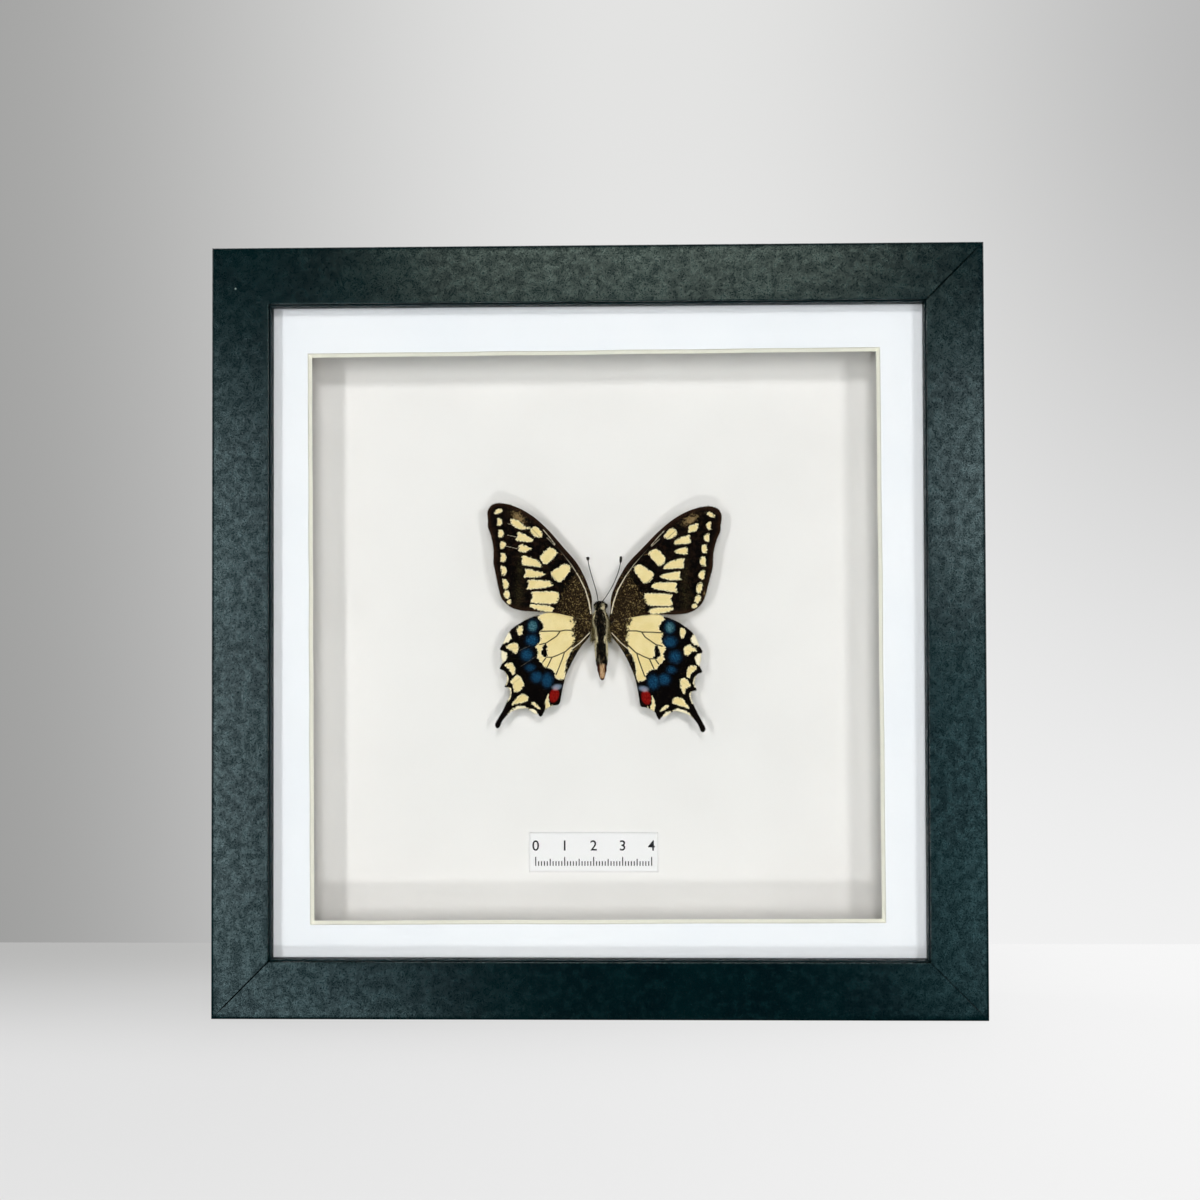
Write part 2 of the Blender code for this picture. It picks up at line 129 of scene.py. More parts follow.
def times(tree, first, second):
    """The product of two values."""
    return maths(tree, "MULTIPLY", first, second)


def plus(tree, first, second):
    """The sum of two values."""
    return maths(tree, "ADD", first, second)


def mix(tree, share, first, second, how="MIX"):
    """The first colour where share is 0 and the second where it is 1."""
    sockets = {0: share, 6: first, 7: second}
    return add_node(tree, "Mix", sockets, data_type="RGBA", blend_type=how)[2]


def relief(tree, height, depth, before=None):
    """The surface's normal when height, from 0 to 1, is worth this depth in metres."""
    sockets = {"Height": height, "Distance": depth}
    if before is not None:
        sockets["Normal"] = before
    return add_node(tree, "Bump", sockets)[0]


def attribute(tree, name):
    """The number that the mesh carries under this name at each point."""
    return add_node(tree, "Attribute", {}, attribute_name=name)["Fac"]


def lead(tree, shader, **outputs):
    """Leads each output into the shader's socket of that name."""
    for socket, output in outputs.items():
        tree.links.new(output, shader.inputs[socket.replace("_", " ")])


def mesh_object(name, points, faces, finishes):
    """An object in the scene, made from its points and faces."""
    mesh = bpy.data.meshes.new(name)
    mesh.from_pydata(np.asarray(points).tolist(), [], faces)
    for finish in finishes:
        mesh.materials.append(finish)
    made = bpy.data.objects.new(name, mesh)
    bpy.context.scene.collection.objects.link(made)
    return made


def piece(name, points, faces, finishes, values=None, face_finish=None, smooth=True):
    """A piece of the object from its points and faces, with a float attribute for each value."""
    made = mesh_object(name, points, faces, finishes)
    mesh = made.data
    if face_finish is not None:
        mesh.polygons.foreach_set("material_index", np.asarray(face_finish, dtype=np.int32))
    mesh.polygons.foreach_set("use_smooth", np.full(len(mesh.polygons), smooth))
    for key, numbers in (values or {}).items():
        mesh.attributes.new(key, "FLOAT", "POINT").data.foreach_set(
            "value", np.asarray(numbers, dtype=np.float32).ravel()
        )
    mesh.update()
    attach(made, "root")
    return made


def grid_faces(rows, columns, ring=False):
    """The quads of a grid of points, row by row. A ring joins the last column to the first."""
    index = np.arange(rows * columns).reshape(rows, columns)
    beside = np.roll(index, -1, axis=1)
    last = columns if ring else columns - 1
    corners = (index[:-1, :last], index[1:, :last], beside[1:, :last], beside[:-1, :last])
    return np.stack(corners, axis=-1).reshape(-1, 4)


def tube_faces(rows, columns):
    """The faces of a grid of rings, with one flat face over the first ring and one over the
    last."""
    last = (rows - 1) * columns
    faces = grid_faces(rows, columns, ring=True).tolist()
    faces.append(list(range(columns)))
    faces.append(list(range(last + columns - 1, last - 1, -1)))
    return faces


def arc(centre, radius, first, last, steps):
    """Points on a circle from one angle to another, in degrees from +y towards inwards."""
    angle = np.radians(np.linspace(first, last, steps))
    return np.stack([centre[0] + radius * np.cos(angle), centre[1] + radius * np.sin(angle)], 1)


def rail_section():
    """The section as (y, inward) points, from the outer back edge round the face to the back, how
    much of the sight arris's pale line each point carries, partly rubbed spray and partly painted
    highlight, and how much painted lip tone it takes: a half for the lip wall's painted light, up
    to one for painted shade in the quirk and on the lip's back arris."""
    front, back = -FRAME_DEPTH / 2, FRAME_DEPTH / 2
    outer, sight, groove = OUTER_ARRIS, SIGHT_ARRIS, FACE_WIDTH - QUIRK_DEPTH
    start, end, lip = front + QUIRK_START, front + QUIRK_END, front + LIP_DEPTH
    face = np.append(np.linspace(outer, FACE_WIDTH - 2 * sight, 12)[1:], FACE_WIDTH - 1.1 * sight)
    parts = [
        arc((back - outer, outer), outer, 0, -90, 6),
        arc((front + outer, outer), outer, -90, -180, 8),
        np.stack([np.full(len(face), front), face], 1),
        arc((front + sight, FACE_WIDTH - sight), sight, 180, 90, 7),
        np.array([(start, FACE_WIDTH), (start + 0.15 * MM, groove)]),
        np.array([(end - 0.6 * MM, groove), (end - 0.3 * MM, FACE_WIDTH - 0.05 * MM)]),
        np.array([(end, FACE_WIDTH), (lip - 4 * LIP_ARRIS, FACE_WIDTH)]),
        arc((lip - LIP_ARRIS, FACE_WIDTH - LIP_ARRIS), LIP_ARRIS, 90, 0, 5),
        np.array([(lip, WALL), (back, WALL)]),
    ]
    # The sight arris's pale line: partly rubbed spray, partly painted highlight.
    rub_and_highlight = [np.zeros(6), np.full(8, 0.1), np.zeros(12), np.full(7, 1.0), np.zeros(13)]
    # Painted lip tone: a half paints the lip wall a paler, lit green, and one paints shade near
    # black in the quirk and on the lip's back arris.
    dark = [np.zeros(33), (0.6, 1.0, 1.0, 0.6, 0.5, 0.5), np.ones(5), np.full(2, 0.5)]
    return np.concatenate(parts), np.concatenate(rub_and_highlight), np.concatenate(dark)


def rail_finish():
    """Satin spray over open grain: nearly black green, mottled where it is thin."""
    made, tree, shader = new_finish("satin_green_black_spray", Roughness=0.2)
    along = add_node(tree, "UVMap", {}, uv_map="along_rail")[0]
    grain = add_node(tree, "Mapping", {"Vector": along, "Scale": (0.3, 1.0, 1.0)})[0]
    cloud = noise(tree, along, 45, 4.0)
    mottle = noise(tree, along, 300, 4.0, 0.7)
    speck = noise(tree, along, 1700, 4.0, 0.85)
    pores = noise(tree, grain, 1500, 2.0)
    grains = add_node(tree, "TexVoronoi", {"Vector": along, "Scale": 3300.0})["Color"]
    lip = attribute(tree, "lip")
    body = mix(tree, level(tree, cloud, 0.35, 0.65), shade(0, 15, 19), shade(0, 21, 24))
    body = mix(tree, level(tree, mottle, 0.5, 0.62), body, shade(3, 27, 30))
    body = mix(tree, level(tree, speck, 0.55, 0.7, 0.0, 0.4), body, shade(16, 40, 41))
    # Painted light and shade on the lip: a paler lit green on its wall, and near-black painted
    # shade in the quirk and on its back arris.
    body = mix(tree, level(tree, lip, 0.0, 0.5), body, shade(18, 40, 44))
    body = mix(tree, level(tree, lip, 0.5, 1.0), body, shade(0, 5, 6))
    # The pale, broken line on the sight arris is partly rubbed spray and partly a painted highlight
    # where the rounded arris catches light.
    edge = times(tree, attribute(tree, "arris_wear_highlight"), level(tree, speck, 0.48, 0.66, 0.0))
    wear_and_highlight = mix(tree, edge, body, shade(58, 80, 78))
    ends = {0: object_point(tree), 1: CHIP_PLACE}
    away = add_node(tree, "VectorMath", ends, operation="DISTANCE")["Value"]
    chip = level(tree, away, CHIP_CORE, CHIP_RADIUS, 1.0, 0.0)
    wear_and_highlight = mix(tree, chip, wear_and_highlight, shade(150, 165, 160))
    glints = plus(tree, speck, times(tree, grains, 0.45))
    glints = level(tree, glints, 0.5, 0.95, 0.22, 0.8)
    glints = times(tree, glints, level(tree, mottle, 0.4, 0.6, 0.4, 0.85))
    shine = times(tree, glints, level(tree, lip, 0.0, 0.4, 1.0, 0.03))
    coarse = relief(tree, mottle, 0.025 * MM)
    fine = relief(tree, pores, 0.01 * MM, relief(tree, speck, 0.006 * MM, coarse))
    lead(tree, shader, Base_Color=wear_and_highlight, Specular_IOR_Level=shine, Normal=fine)
    return made


def rail(name, turn, start_gap, end_gap, finish):
    """The section drawn along X from mitre to mitre, a point's reach being half the side less its
    distance in from the edge, and the whole turned about the frame's middle. Each mitre's gap
    closes over the first few millimetres behind the face, and again towards the outer arris."""
    section, rub_and_highlight, dark = rail_section()
    half = FRAME_SIDE / 2
    open_share = np.clip((MITRE_OPEN - FRAME_DEPTH / 2 - section[:, 0]) / MITRE_OPEN, 0.05, 1)
    open_share = open_share * np.clip((section[:, 1] - OUTER_ARRIS) / MITRE_FADE, 0.02, 1)
    first = -(half - section[:, 1]) + open_share * start_gap / math.sqrt(2)
    last = (half - section[:, 1]) - open_share * end_gap / math.sqrt(2)
    share = np.linspace(0, 1, RAIL_STEPS)[:, None]
    x = first + (last - first) * share
    y = np.broadcast_to(section[:, 0], x.shape)
    z = np.broadcast_to(section[:, 1] - half, x.shape)
    angle = -turn * math.pi / 2
    across = x * math.cos(angle) + z * math.sin(angle)
    up = -x * math.sin(angle) + z * math.cos(angle) + half
    points = np.stack([across, y, up], axis=-1).reshape(-1, 3)
    faces = tube_faces(RAIL_STEPS, len(section))
    values = {"arris_wear_highlight": np.tile(rub_and_highlight, RAIL_STEPS), "lip": np.tile(dark, RAIL_STEPS)}
    made = piece(f"moulding_{name}", points, faces, [finish], values)
    step = np.hypot(*np.diff(section, axis=0, prepend=section[:1]).T)
    round_section = np.broadcast_to(np.cumsum(step), x.shape)
    spread = np.stack([x + PATTERN_SHIFT * turn, round_section], axis=-1).reshape(-1, 2)
    loops = np.empty(len(made.data.loops), dtype=np.int32)
    made.data.loops.foreach_get("vertex_index", loops)
    laid = made.data.uv_layers.new(name="along_rail")
    laid.data.foreach_set("uv", spread[loops].astype(np.float32).ravel())
    smooth_faces = np.ones(len(made.data.polygons), dtype=bool)
    smooth_faces[-2:] = False
    made.data.polygons.foreach_set("use_smooth", smooth_faces)
    made.data.set_sharp_from_angle(angle=SHARP_ANGLE)
    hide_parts(f"rail_{name}")


spray = rail_finish()
for turn, name in enumerate(("bottom", "right", "top", "left")):
    rail(name, turn, MITRE_GAPS[turn], MITRE_GAPS[(turn + 1) % 4], spray)

# ---------------------------------------------------------------------------------------------
# The glass: one sheet of 2 mm picture glass, held against the lip. It keeps its CAD shape, and
# throws no shadow, because light passes through it.

CLEAR = {"Base_Color": (0.99, 0.99, 0.99, 1), "Roughness": 0.0, "IOR": 1.5}


def dress(names, finish):
    """Gives CAD nodes that keep their own shape this finish."""
    for name in names:
        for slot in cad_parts[name].material_slots:
            slot.material = finish


glass = new_finish("picture_glass", Transmission_Weight=1.0, **CLEAR)[0]
dress(["glass_pane"], glass)
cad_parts["glass_pane"].visible_shadow = False

# ---------------------------------------------------------------------------------------------
# The window mount: white-faced card, cut at a slant so that its cream core shows as a thin
# bevel all round. The knife wandered a little along each side.

MOUNT_FRONT = -13.4 * MM
MOUNT_BACK = -11.9 * MM
MOUNT_SIDE = 227 * MM
WINDOW_HALF = (93.25 * MM, 93.1 * MM)
WINDOW_CENTRE = (-0.95 * MM, 123.25 * MM)
BEVEL_REACH = 1.15 * MM
WINDOW_TURN = math.radians(0.25)
CUT_STEPS = 60


def paper_finish(name, colour, shadow, tooth, fleck=0.0):
    """Uncoated card: a soft tooth in the surface, a faint cloudiness, and a few dark flecks."""
    made, tree, shader = new_finish(name, Roughness=0.85, Specular_IOR_Level=0.05)
    point = object_point(tree)
    fibres = noise(tree, point, 1600, 4.0, 0.6)
    cloud = noise(tree, point, 28, 2.0)
    tone = mix(tree, level(tree, cloud, 0.3, 0.75), colour, shadow)
    if fleck:
        cells = add_node(tree, "TexVoronoi", {"Vector": point, "Scale": 70.0})
        seed = add_node(tree, "SeparateColor", {"Color": cells["Color"]})[0]
        rare = maths(tree, "GREATER_THAN", seed, 1 - fleck)
        small = level(tree, cells["Distance"], 0.008, 0.016, 0.7, 0.0)
        tone = mix(tree, times(tree, rare, small), tone, shade(95, 88, 78))
    lead(tree, shader, Base_Color=tone, Normal=relief(tree, fibres, tooth))
    return made


def bevel_finish():
    """The cream core of the card: darker at the knife's first cut, partly the face paper's cut edge
    and partly painted shade, paler towards the back.
    """
    made, tree, shader = new_finish("cream_card_core", Roughness=0.9, Specular_IOR_Level=0.2)
    fuzz = noise(tree, object_point(tree), 2200, 3.0, 0.6)
    across = attribute(tree, "into_cut")
    # The darker band at the front of the bevel is partly painted shade.
    cream = mix(tree, level(tree, across, 0.0, 0.35), shade(206, 203, 190), shade(252, 250, 236))
    tone = mix(tree, level(tree, fuzz, 0.35, 0.7, 0.0, 0.3), cream, shade(226, 220, 196))
    lead(tree, shader, Base_Color=tone, Normal=relief(tree, fuzz, 0.03 * MM))
    return made


def square_loop(half, centre, turn, wander):
    """Points round a rectangle, the same number to a side. Each side bows by a small sine that is
    zero at its ends, so the corners stay true."""
    share = np.linspace(0, 1, CUT_STEPS, endpoint=False)
    corners = np.array([(-1, -1), (1, -1), (1, 1), (-1, 1)]) * half
    sides = []
    for number in range(4):
        start, end = corners[number], corners[(number + 1) % 4]
        line = start + (end - start) * share[:, None]
        outward = np.array([end[1] - start[1], start[0] - end[0]])
        outward = outward / np.hypot(*outward)
        sway = np.sin(math.pi * share) * np.sin((5 + 2 * number) * math.pi * share + number)
        sides.append(line + outward * (wander * sway)[:, None])
    points = np.concatenate(sides)
    turned_x = points[:, 0] * math.cos(turn) - points[:, 1] * math.sin(turn)
    turned_z = points[:, 0] * math.sin(turn) + points[:, 1] * math.cos(turn)
    return np.stack([turned_x + centre[0], turned_z + centre[1]], axis=1)


def window_mount():
    """Loops round the mount in the order of its section: outer back, outer front, the window's
    edge at the face, the bevel, the window's edge at the back, and so round again."""
    sheet = (np.full(2, MOUNT_SIDE / 2), (0.0, FRAME_SIDE / 2), 0, 0)
    rows = [(*sheet, MOUNT_BACK, 0), (*sheet, MOUNT_FRONT, 0)]
    for reach, wander, into in (
        (BEVEL_REACH + 0.3 * MM, 0, 0),
        (BEVEL_REACH, 0.07 * MM, 0),
        (0.75 * BEVEL_REACH, 0.06 * MM, 0.25),
        (0.1 * BEVEL_REACH, 0.05 * MM, 0.9),
        (0, 0.05 * MM, 1),
    ):
        y = MOUNT_FRONT + into * (MOUNT_BACK - MOUNT_FRONT)
        rows.append((np.array(WINDOW_HALF) + reach, WINDOW_CENTRE, WINDOW_TURN, wander, y, into))
    loops, depth = [], []
    for half, centre, turn, wander, y, into in rows:
        loop = square_loop(half, centre, turn, wander)
        loops.append(np.stack([loop[:, 0], np.full(len(loop), y), loop[:, 1]], axis=1))
        depth.append(np.full(len(loop), into))
    around = 4 * CUT_STEPS
    faces = grid_faces(len(loops) + 1, around, ring=True)[:, ::-1] % (len(loops) * around)
    bands = np.repeat(np.arange(len(loops)), around)
    core = (bands >= 3) & (bands <= 5)
    values = {"into_cut": np.concatenate(depth)}
    finishes = [mount_white, bevel_finish()]
    made = piece("bevelled_window_mount", np.concatenate(loops), faces.tolist(), finishes,
                 values, core, smooth=False)
    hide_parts("window_mount")


mount_white = paper_finish(
    "white_mount_card", shade(240, 241, 243), shade(236, 238, 241), 0.02 * MM, 0.02
)
window_mount()

# ---------------------------------------------------------------------------------------------
# The spacers: four strips of white foam-cored card on edge, glued behind the window mount. They
# keep their CAD shape. Their colour is painted a greyer buff than white as shade, so that they also
# bounce less light into the recess.

# Greyer than white card: painted shade for the recess.
foam_card = paper_finish("foam_cored_card", shade(208, 201, 192), shade(200, 193, 184), 0.04 * MM)
dress(["spacer_bottom", "spacer_top", "spacer_left", "spacer_right"], foam_card)

# ---------------------------------------------------------------------------------------------
# The mount board: smooth white card behind the spacers, which carries the specimen and the
# label. It keeps its CAD shape.

BOARD_FRONT = 16.2 * MM
board_white = paper_finish(
    "white_mount_board", shade(238, 236, 233), shade(234, 232, 229), 0.015 * MM, 0.01
)
dress(["mount_board"], board_white)

# ---------------------------------------------------------------------------------------------
# The label: a slip of laid paper glued to the board, lifting a little at its ends, and printed
# with a plain centimetre scale.

LABEL_HALF = (22.3 * MM, 6.9 * MM)
LABEL_CENTRE = (-2.4 * MM, 48.7 * MM)
LABEL_PAPER = 0.12 * MM
LABEL_GLUE = 0.05 * MM
LABEL_GRID = (60, 16)
INK_LIFT = 0.02 * MM
INK_SPREAD = 0.05 * MM
SCALE_LENGTH = 40
SCALE_FOOT = -4.7 * MM
NUMERAL_FOOT = 0.6 * MM
NUMERAL_HEIGHT = 3.5 * MM
CAPITAL_SHARE = 0.7
TICK_WIDTH = 0.36 * MM


def label_front(x, z):
    """How far forward the slip's face lies: flat in the middle, rising as the fourth power of the
    distance out to its left end and, less, to its right end and top corners."""
    across = (x - LABEL_CENTRE[0]) / LABEL_HALF[0]
    up = (z - LABEL_CENTRE[1]) / LABEL_HALF[1]
    lift = 0.32 * np.clip(-across, 0, 1) ** 4 + 0.22 * np.clip(across, 0, 1) ** 4
    lift = lift * (1 + 0.35 * up) + 0.03 * up**2
    return BOARD_FRONT - LABEL_GLUE - LABEL_PAPER - lift * MM


def label_slip():
    """A grid over the slip, given its thickness behind."""
    sides = [
        np.linspace(-1, 1, steps) * half + centre
        for steps, half, centre in zip(LABEL_GRID, LABEL_HALF, LABEL_CENTRE)
    ]
    across, up = np.meshgrid(*sides, indexing="ij")
    points = np.stack([across, label_front(across, up), up], axis=-1).reshape(-1, 3)
    faces = grid_faces(*LABEL_GRID).tolist()
    made = piece("label_slip", points, faces, [slip_paper])
    thicken = made.modifiers.new("paper", "SOLIDIFY")
    thicken.thickness = LABEL_PAPER
    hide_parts("label")


def ink_finish():
    """Printer's black, soaked a little unevenly into the paper."""
    made, tree, shader = new_finish("printing_ink", Roughness=0.8, Specular_IOR_Level=0.2)
    soak = noise(tree, object_point(tree), 3500, 3.0, 0.6)
    tone = mix(tree, level(tree, soak, 0.3, 0.75), shade(12, 12, 16), shade(40, 40, 44))
    lead(tree, shader, Base_Color=tone)
    return made


def scale_marks():
    """A tick every millimetre for four centimetres, each a strip of two quads that follows the
    slip, longer at the fives and longest at the tens."""
    count = np.arange(SCALE_LENGTH + 1)
    length = np.where(count % 10 == 0, 3.1, np.where(count % 5 == 0, 2.4, 1.6)) * MM
    foot = LABEL_CENTRE[1] + SCALE_FOOT
    middle = LABEL_CENTRE[0] + (count - SCALE_LENGTH / 2) * MM
    across = middle[:, None, None] + np.array([-0.5, 0.5])[None, None, :] * TICK_WIDTH
    up = foot + length[:, None, None] * np.linspace(0, 1, 3)[None, :, None]
    across, up = np.broadcast_arrays(across, up)
    front = label_front(across, up) - INK_LIFT
    points = np.stack([across, front, up], axis=-1).reshape(-1, 3)
    strip = np.array([[0, 1, 3, 2], [2, 3, 5, 4]])
    faces = (count[:, None, None] * 6 + strip[None]).reshape(-1, 4)
    piece("label_ticks", points, faces.tolist(), [ink], smooth=False)


def numeral(value):
    """One figure of the scale: a text made a mesh, with its points carried onto the slip."""
    curve = bpy.data.curves.new("numeral", "FONT")
    curve.body = str(value)
    curve.size = NUMERAL_HEIGHT / CAPITAL_SHARE
    curve.align_x = "CENTER"
    curve.offset = INK_SPREAD
    written = bpy.data.objects.new("numeral", curve)
    bpy.context.scene.collection.objects.link(written)
    bpy.context.view_layer.update()
    flat = bpy.data.meshes.new_from_object(written)
    bpy.data.objects.remove(written)
    corners = np.empty(len(flat.vertices) * 3, dtype=np.float32)
    flat.vertices.foreach_get("co", corners)
    corners = corners.reshape(-1, 3)
    across = LABEL_CENTRE[0] + (10 * value - SCALE_LENGTH / 2) * MM + corners[:, 0]
    up = LABEL_CENTRE[1] + NUMERAL_FOOT + corners[:, 1]
    points = np.stack([across, label_front(across, up) - INK_LIFT, up], axis=1)
    faces = [list(polygon.vertices) for polygon in flat.polygons]
    bpy.data.meshes.remove(flat)
    piece(f"label_numeral_{value}", points, faces, [ink], smooth=False)


slip_paper = paper_finish("laid_label_paper", shade(239, 238, 238), shade(235, 234, 233), 0.03 * MM)
ink = ink_finish()
label_slip()
scale_marks()
for value in range(SCALE_LENGTH // 10 + 1):
    numeral(value)

# ---------------------------------------------------------------------------------------------
# The pad: a small disc of white foam between the thorax and the board. It keeps its CAD shape.



def cell_finish(name, per_metre, dark, pale, depth, **values):
    """Cells, each dark at its middle and pale towards its walls, with a relief of this depth."""
    made, tree, shader = new_finish(name, **values)
    cells = {"Vector": object_point(tree), "Scale": per_metre}
    wall = add_node(tree, "TexVoronoi", cells)["Distance"]
    lead(tree, shader, Base_Color=mix(tree, wall, dark, pale), Normal=relief(tree, wall, depth))
    return made


foam = cell_finish("pad_foam", 3500.0, shade(226, 224, 218), shade(246, 245, 240), 0.06 * MM,
                   Roughness=0.95, Specular_IOR_Level=0.1)
dress(["specimen_pad"], foam)

# ---------------------------------------------------------------------------------------------
# The wings: dry membranes on raised veins, covered with tiny overlapping scales that carry the
# colour. They are drawn in millimetres, u out from the body's axis and v up from the middle of
# the thorax, on the right side. The left pair is the same drawing, mirrored and set a little
# higher, with its own wear.

SPECIMEN_SCALE = 79.4 / 82.0
SPECIMEN_CENTRE = (0.6, 124.6)
WING_ROOT = (3.0, 4.0)
WING_REACH = 38
NEAREST_AXIS = 2.2
WING_PITCH = 0.19
RIDGE_HEIGHT, RIDGE_WIDTH = 0.09, 0.24
SAG_DEPTH, SAG_WIDTH = 0.11, 1.5
OUTLINE_STEPS = 6
MEMBRANE = 0.09 * MM
FOREWING_PLANE = 4.35
HINDWING_PLANE = 5.05
FRINGE_SPACING = 0.085
FRINGE_LENGTH = (0.22 * MM, 0.5 * MM)
FRINGE_RADIUS = 0.035 * MM
MARKS = ("cream", "vein", "dust", "smear", "tan", "pale", "blue", "red", "lilac", "teal",
         "fringe", "brown")

FOREWING = [
    (3.4, 7.5), (3.6, 12.0), (5.0, 16.0), (7.3, 20.6), (10.0, 24.6), (15.0, 29.8), (20.0, 34.9),
    (25.0, 39.1), (30.0, 42.0), (34.5, 43.5), (38.2, 43.9), (40.4, 43.4), (41.7, 42.3),
    (42.4, 40.3), (42.0, 37.2), (41.9, 35.2), (40.8, 32.6), (40.0, 30.0), (39.4, 26.8),
    (39.2, 22.6), (38.3, 19.2), (37.5, 16.0), (36.8, 13.4), (35.8, 10.6), (34.2, 8.6),
    (32.0, 7.2), (29.0, 6.3), (24.0, 6.1), (17.0, 6.1), (10.0, 5.0), (3.4, 4.3),
]
HINDWING = [
    (3.4, 5.4), (10.0, 6.0), (17.0, 6.6), (23.0, 5.1), (26.5, 3.7), (29.2, 2.0), (31.1, 0.6),
    (32.3, -0.6), (32.9, -1.6), (33.7, -3.0), (34.3, -4.7), (35.1, -6.0), (35.5, -7.0),
    (35.1, -7.5), (34.9, -8.4), (34.9, -9.9), (34.5, -11.2), (34.7, -12.4), (35.4, -13.8),
    (34.9, -14.3), (33.9, -14.7), (33.0, -16.0), (32.7, -17.4), (32.9, -19.0), (33.4, -20.3),
    (32.8, -20.5), (31.9, -20.8), (31.4, -21.8), (31.6, -23.6),
    (33.5, -28.0), (35.3, -31.4), (36.4, -33.6), (36.2, -34.7), (35.6, -35.1), (34.9, -34.6),
    (33.9, -32.4), (32.2, -30.2), (30.0, -28.6), (26.2, -27.7), (24.6, -28.1), (22.6, -29.5),
    (21.3, -29.6), (20.4, -30.6), (19.6, -29.6), (18.7, -27.9), (16.2, -26.5), (13.9, -25.8),
    (13.2, -22.4), (12.5, -18.6), (11.2, -14.0), (8.8, -8.8), (6.4, -4.9), (3.4, -0.6),
]
FOREWING_VEINS = [
    [(3.5, 8.5), (10, 20.5), (17, 28.3), (22, 31.5)],
    [(21.5, 31), (23.5, 26), (21.5, 22)],
    [(3.5, 5.5), (10, 12), (16.5, 17.5), (21, 22)],
    [(22, 31.5), (28, 37), (36, 42.5)],
    [(25.5, 33.5), (31, 34.4), (38, 35.4), (41.9, 35.6)],
    [(24, 30.5), (31, 30.3), (37.5, 31), (40.3, 31)],
    [(22.8, 26.7), (30, 26.5), (36.5, 26.8), (39.4, 27)],
    [(21.3, 21.7), (29, 21.8), (36, 22.3), (39, 22.5)],
    [(18.8, 17.8), (28, 17.7), (35.3, 17.6), (37.9, 17.6)],
    [(15.2, 14.4), (26, 13.5), (34.3, 13), (36.6, 12.9)],
    [(4, 5), (16, 8.7), (26, 8.85), (33, 8.2)],
]
HINDWING_VEINS = [
    [(9.5, 0.4), (12.5, 0.4), (14.3, 0.0), (18, -0.1), (21.3, -0.3)],
    [(14.3, 0.0), (15.5, -1.8), (17.5, -3.2), (19.2, -4.4), (21.5, -5.0)],
    [(3.8, -0.2), (7.5, -3.3), (9.9, -5.0), (12.2, -7.2), (15.0, -8.6), (17.0, -9.4), (19, -9.4)],
    [(12.6, -7.6), (13.3, -10), (14.3, -12.8), (15.3, -15.5)],
    [(17.0, -9.5), (17.9, -11.5), (18.7, -13.2)],
    [(19.2, -9.8), (20.2, -11.2)],
]
HINDWING_DARK_VEINS = [
    [(21.3, -0.3), (27, -0.6), (32.0, -1.2)],
    [(21.5, -5.0), (28, -6.2), (34.5, -7.4)],
    [(20.2, -9.3), (27, -11.6), (34.6, -13.6)],
    [(20.2, -11.2), (26, -15.5), (32.6, -20.6)],
    [(18.7, -13.2), (22.5, -18), (28, -24), (35.4, -33.8)],
    [(15.3, -15.5), (17.6, -20.5), (20.4, -29.5)],
]


def smooth_outline(points, steps):
    """A closed curve through the points. Between two neighbours it is the cubic whose slope at
    each is half the step between the points on either side of that one."""
    points = np.asarray(points, dtype=float)
    before, after = np.roll(points, 1, axis=0), np.roll(points, -1, axis=0)
    slope = (after - before) / 2
    next_slope = np.roll(slope, -1, axis=0)
    t = np.linspace(0, 1, steps, endpoint=False)[None, :, None]
    start, end = points[:, None], after[:, None]
    first = (2 * t**3 - 3 * t**2 + 1) * start + (t**3 - 2 * t**2 + t) * slope[:, None]
    second = (3 * t**2 - 2 * t**3) * end + (t**3 - t**2) * next_slope[:, None]
    return (first + second).reshape(-1, 2)


def depth_inside(points, outline):
    """How far each point is inside a closed outline, below zero outside, and the outline's
    nearest point: the least distance to a side, signed by how many sides a level ray meets."""
    least = np.full(len(points), np.inf)
    nearest = points.copy()
    met = np.zeros(len(points), dtype=int)
    for start, end in zip(outline, np.roll(outline, -1, axis=0)):
        side = end - start
        share = np.clip((points - start) @ side / max(side @ side, 1e-12), 0, 1)
        foot = start + share[:, None] * side
        gap = np.hypot(*(points - foot).T)
        closer = gap < least
        least[closer] = gap[closer]
        nearest[closer] = foot[closer]
        straddles = (start[1] > points[:, 1]) != (end[1] > points[:, 1])
        rise = side[1] if abs(side[1]) > 1e-12 else 1e-12
        met += straddles & (points[:, 0] < start[0] + (points[:, 1] - start[1]) * side[0] / rise)
    return np.where(met % 2 == 1, least, -least), nearest


def line_distance(points, line):
    """The least distance from each point to an open line of straight steps."""
    line = np.asarray(line, dtype=float)
    least = np.full(len(points), np.inf)
    for start, end in zip(line[:-1], line[1:]):
        side = end - start
        share = np.clip((points - start) @ side / (side @ side), 0, 1)
        least = np.minimum(least, np.hypot(*(points - start - share[:, None] * side).T))
    return least


def nearest_line(points, lines):
    """The least distance from each point to any of the lines."""
    return np.min([line_distance(points, line) for line in lines], axis=0)


def patch(points, corners):
    """Depth inside a patch whose corners are cut back by a fifth of each side."""
    corners = np.asarray(corners, dtype=float)
    after = np.roll(corners, -1, axis=0)
    pairs = np.stack([0.8 * corners + 0.2 * after, 0.2 * corners + 0.8 * after], axis=1)
    return depth_inside(points, pairs.reshape(-1, 2))[0]


def oval(points, centre, half, tilt=0.0):
    """Depth inside an oval: one less the distance out, as a share of its half widths, times the
    smaller of them."""
    angle = math.radians(tilt)
    across = points[:, 0] - centre[0]
    up = points[:, 1] - centre[1]
    along = (across * math.cos(angle) + up * math.sin(angle)) / half[0]
    beside = (up * math.cos(angle) - across * math.sin(angle)) / half[1]
    return (1 - np.hypot(along, beside)) * min(half)


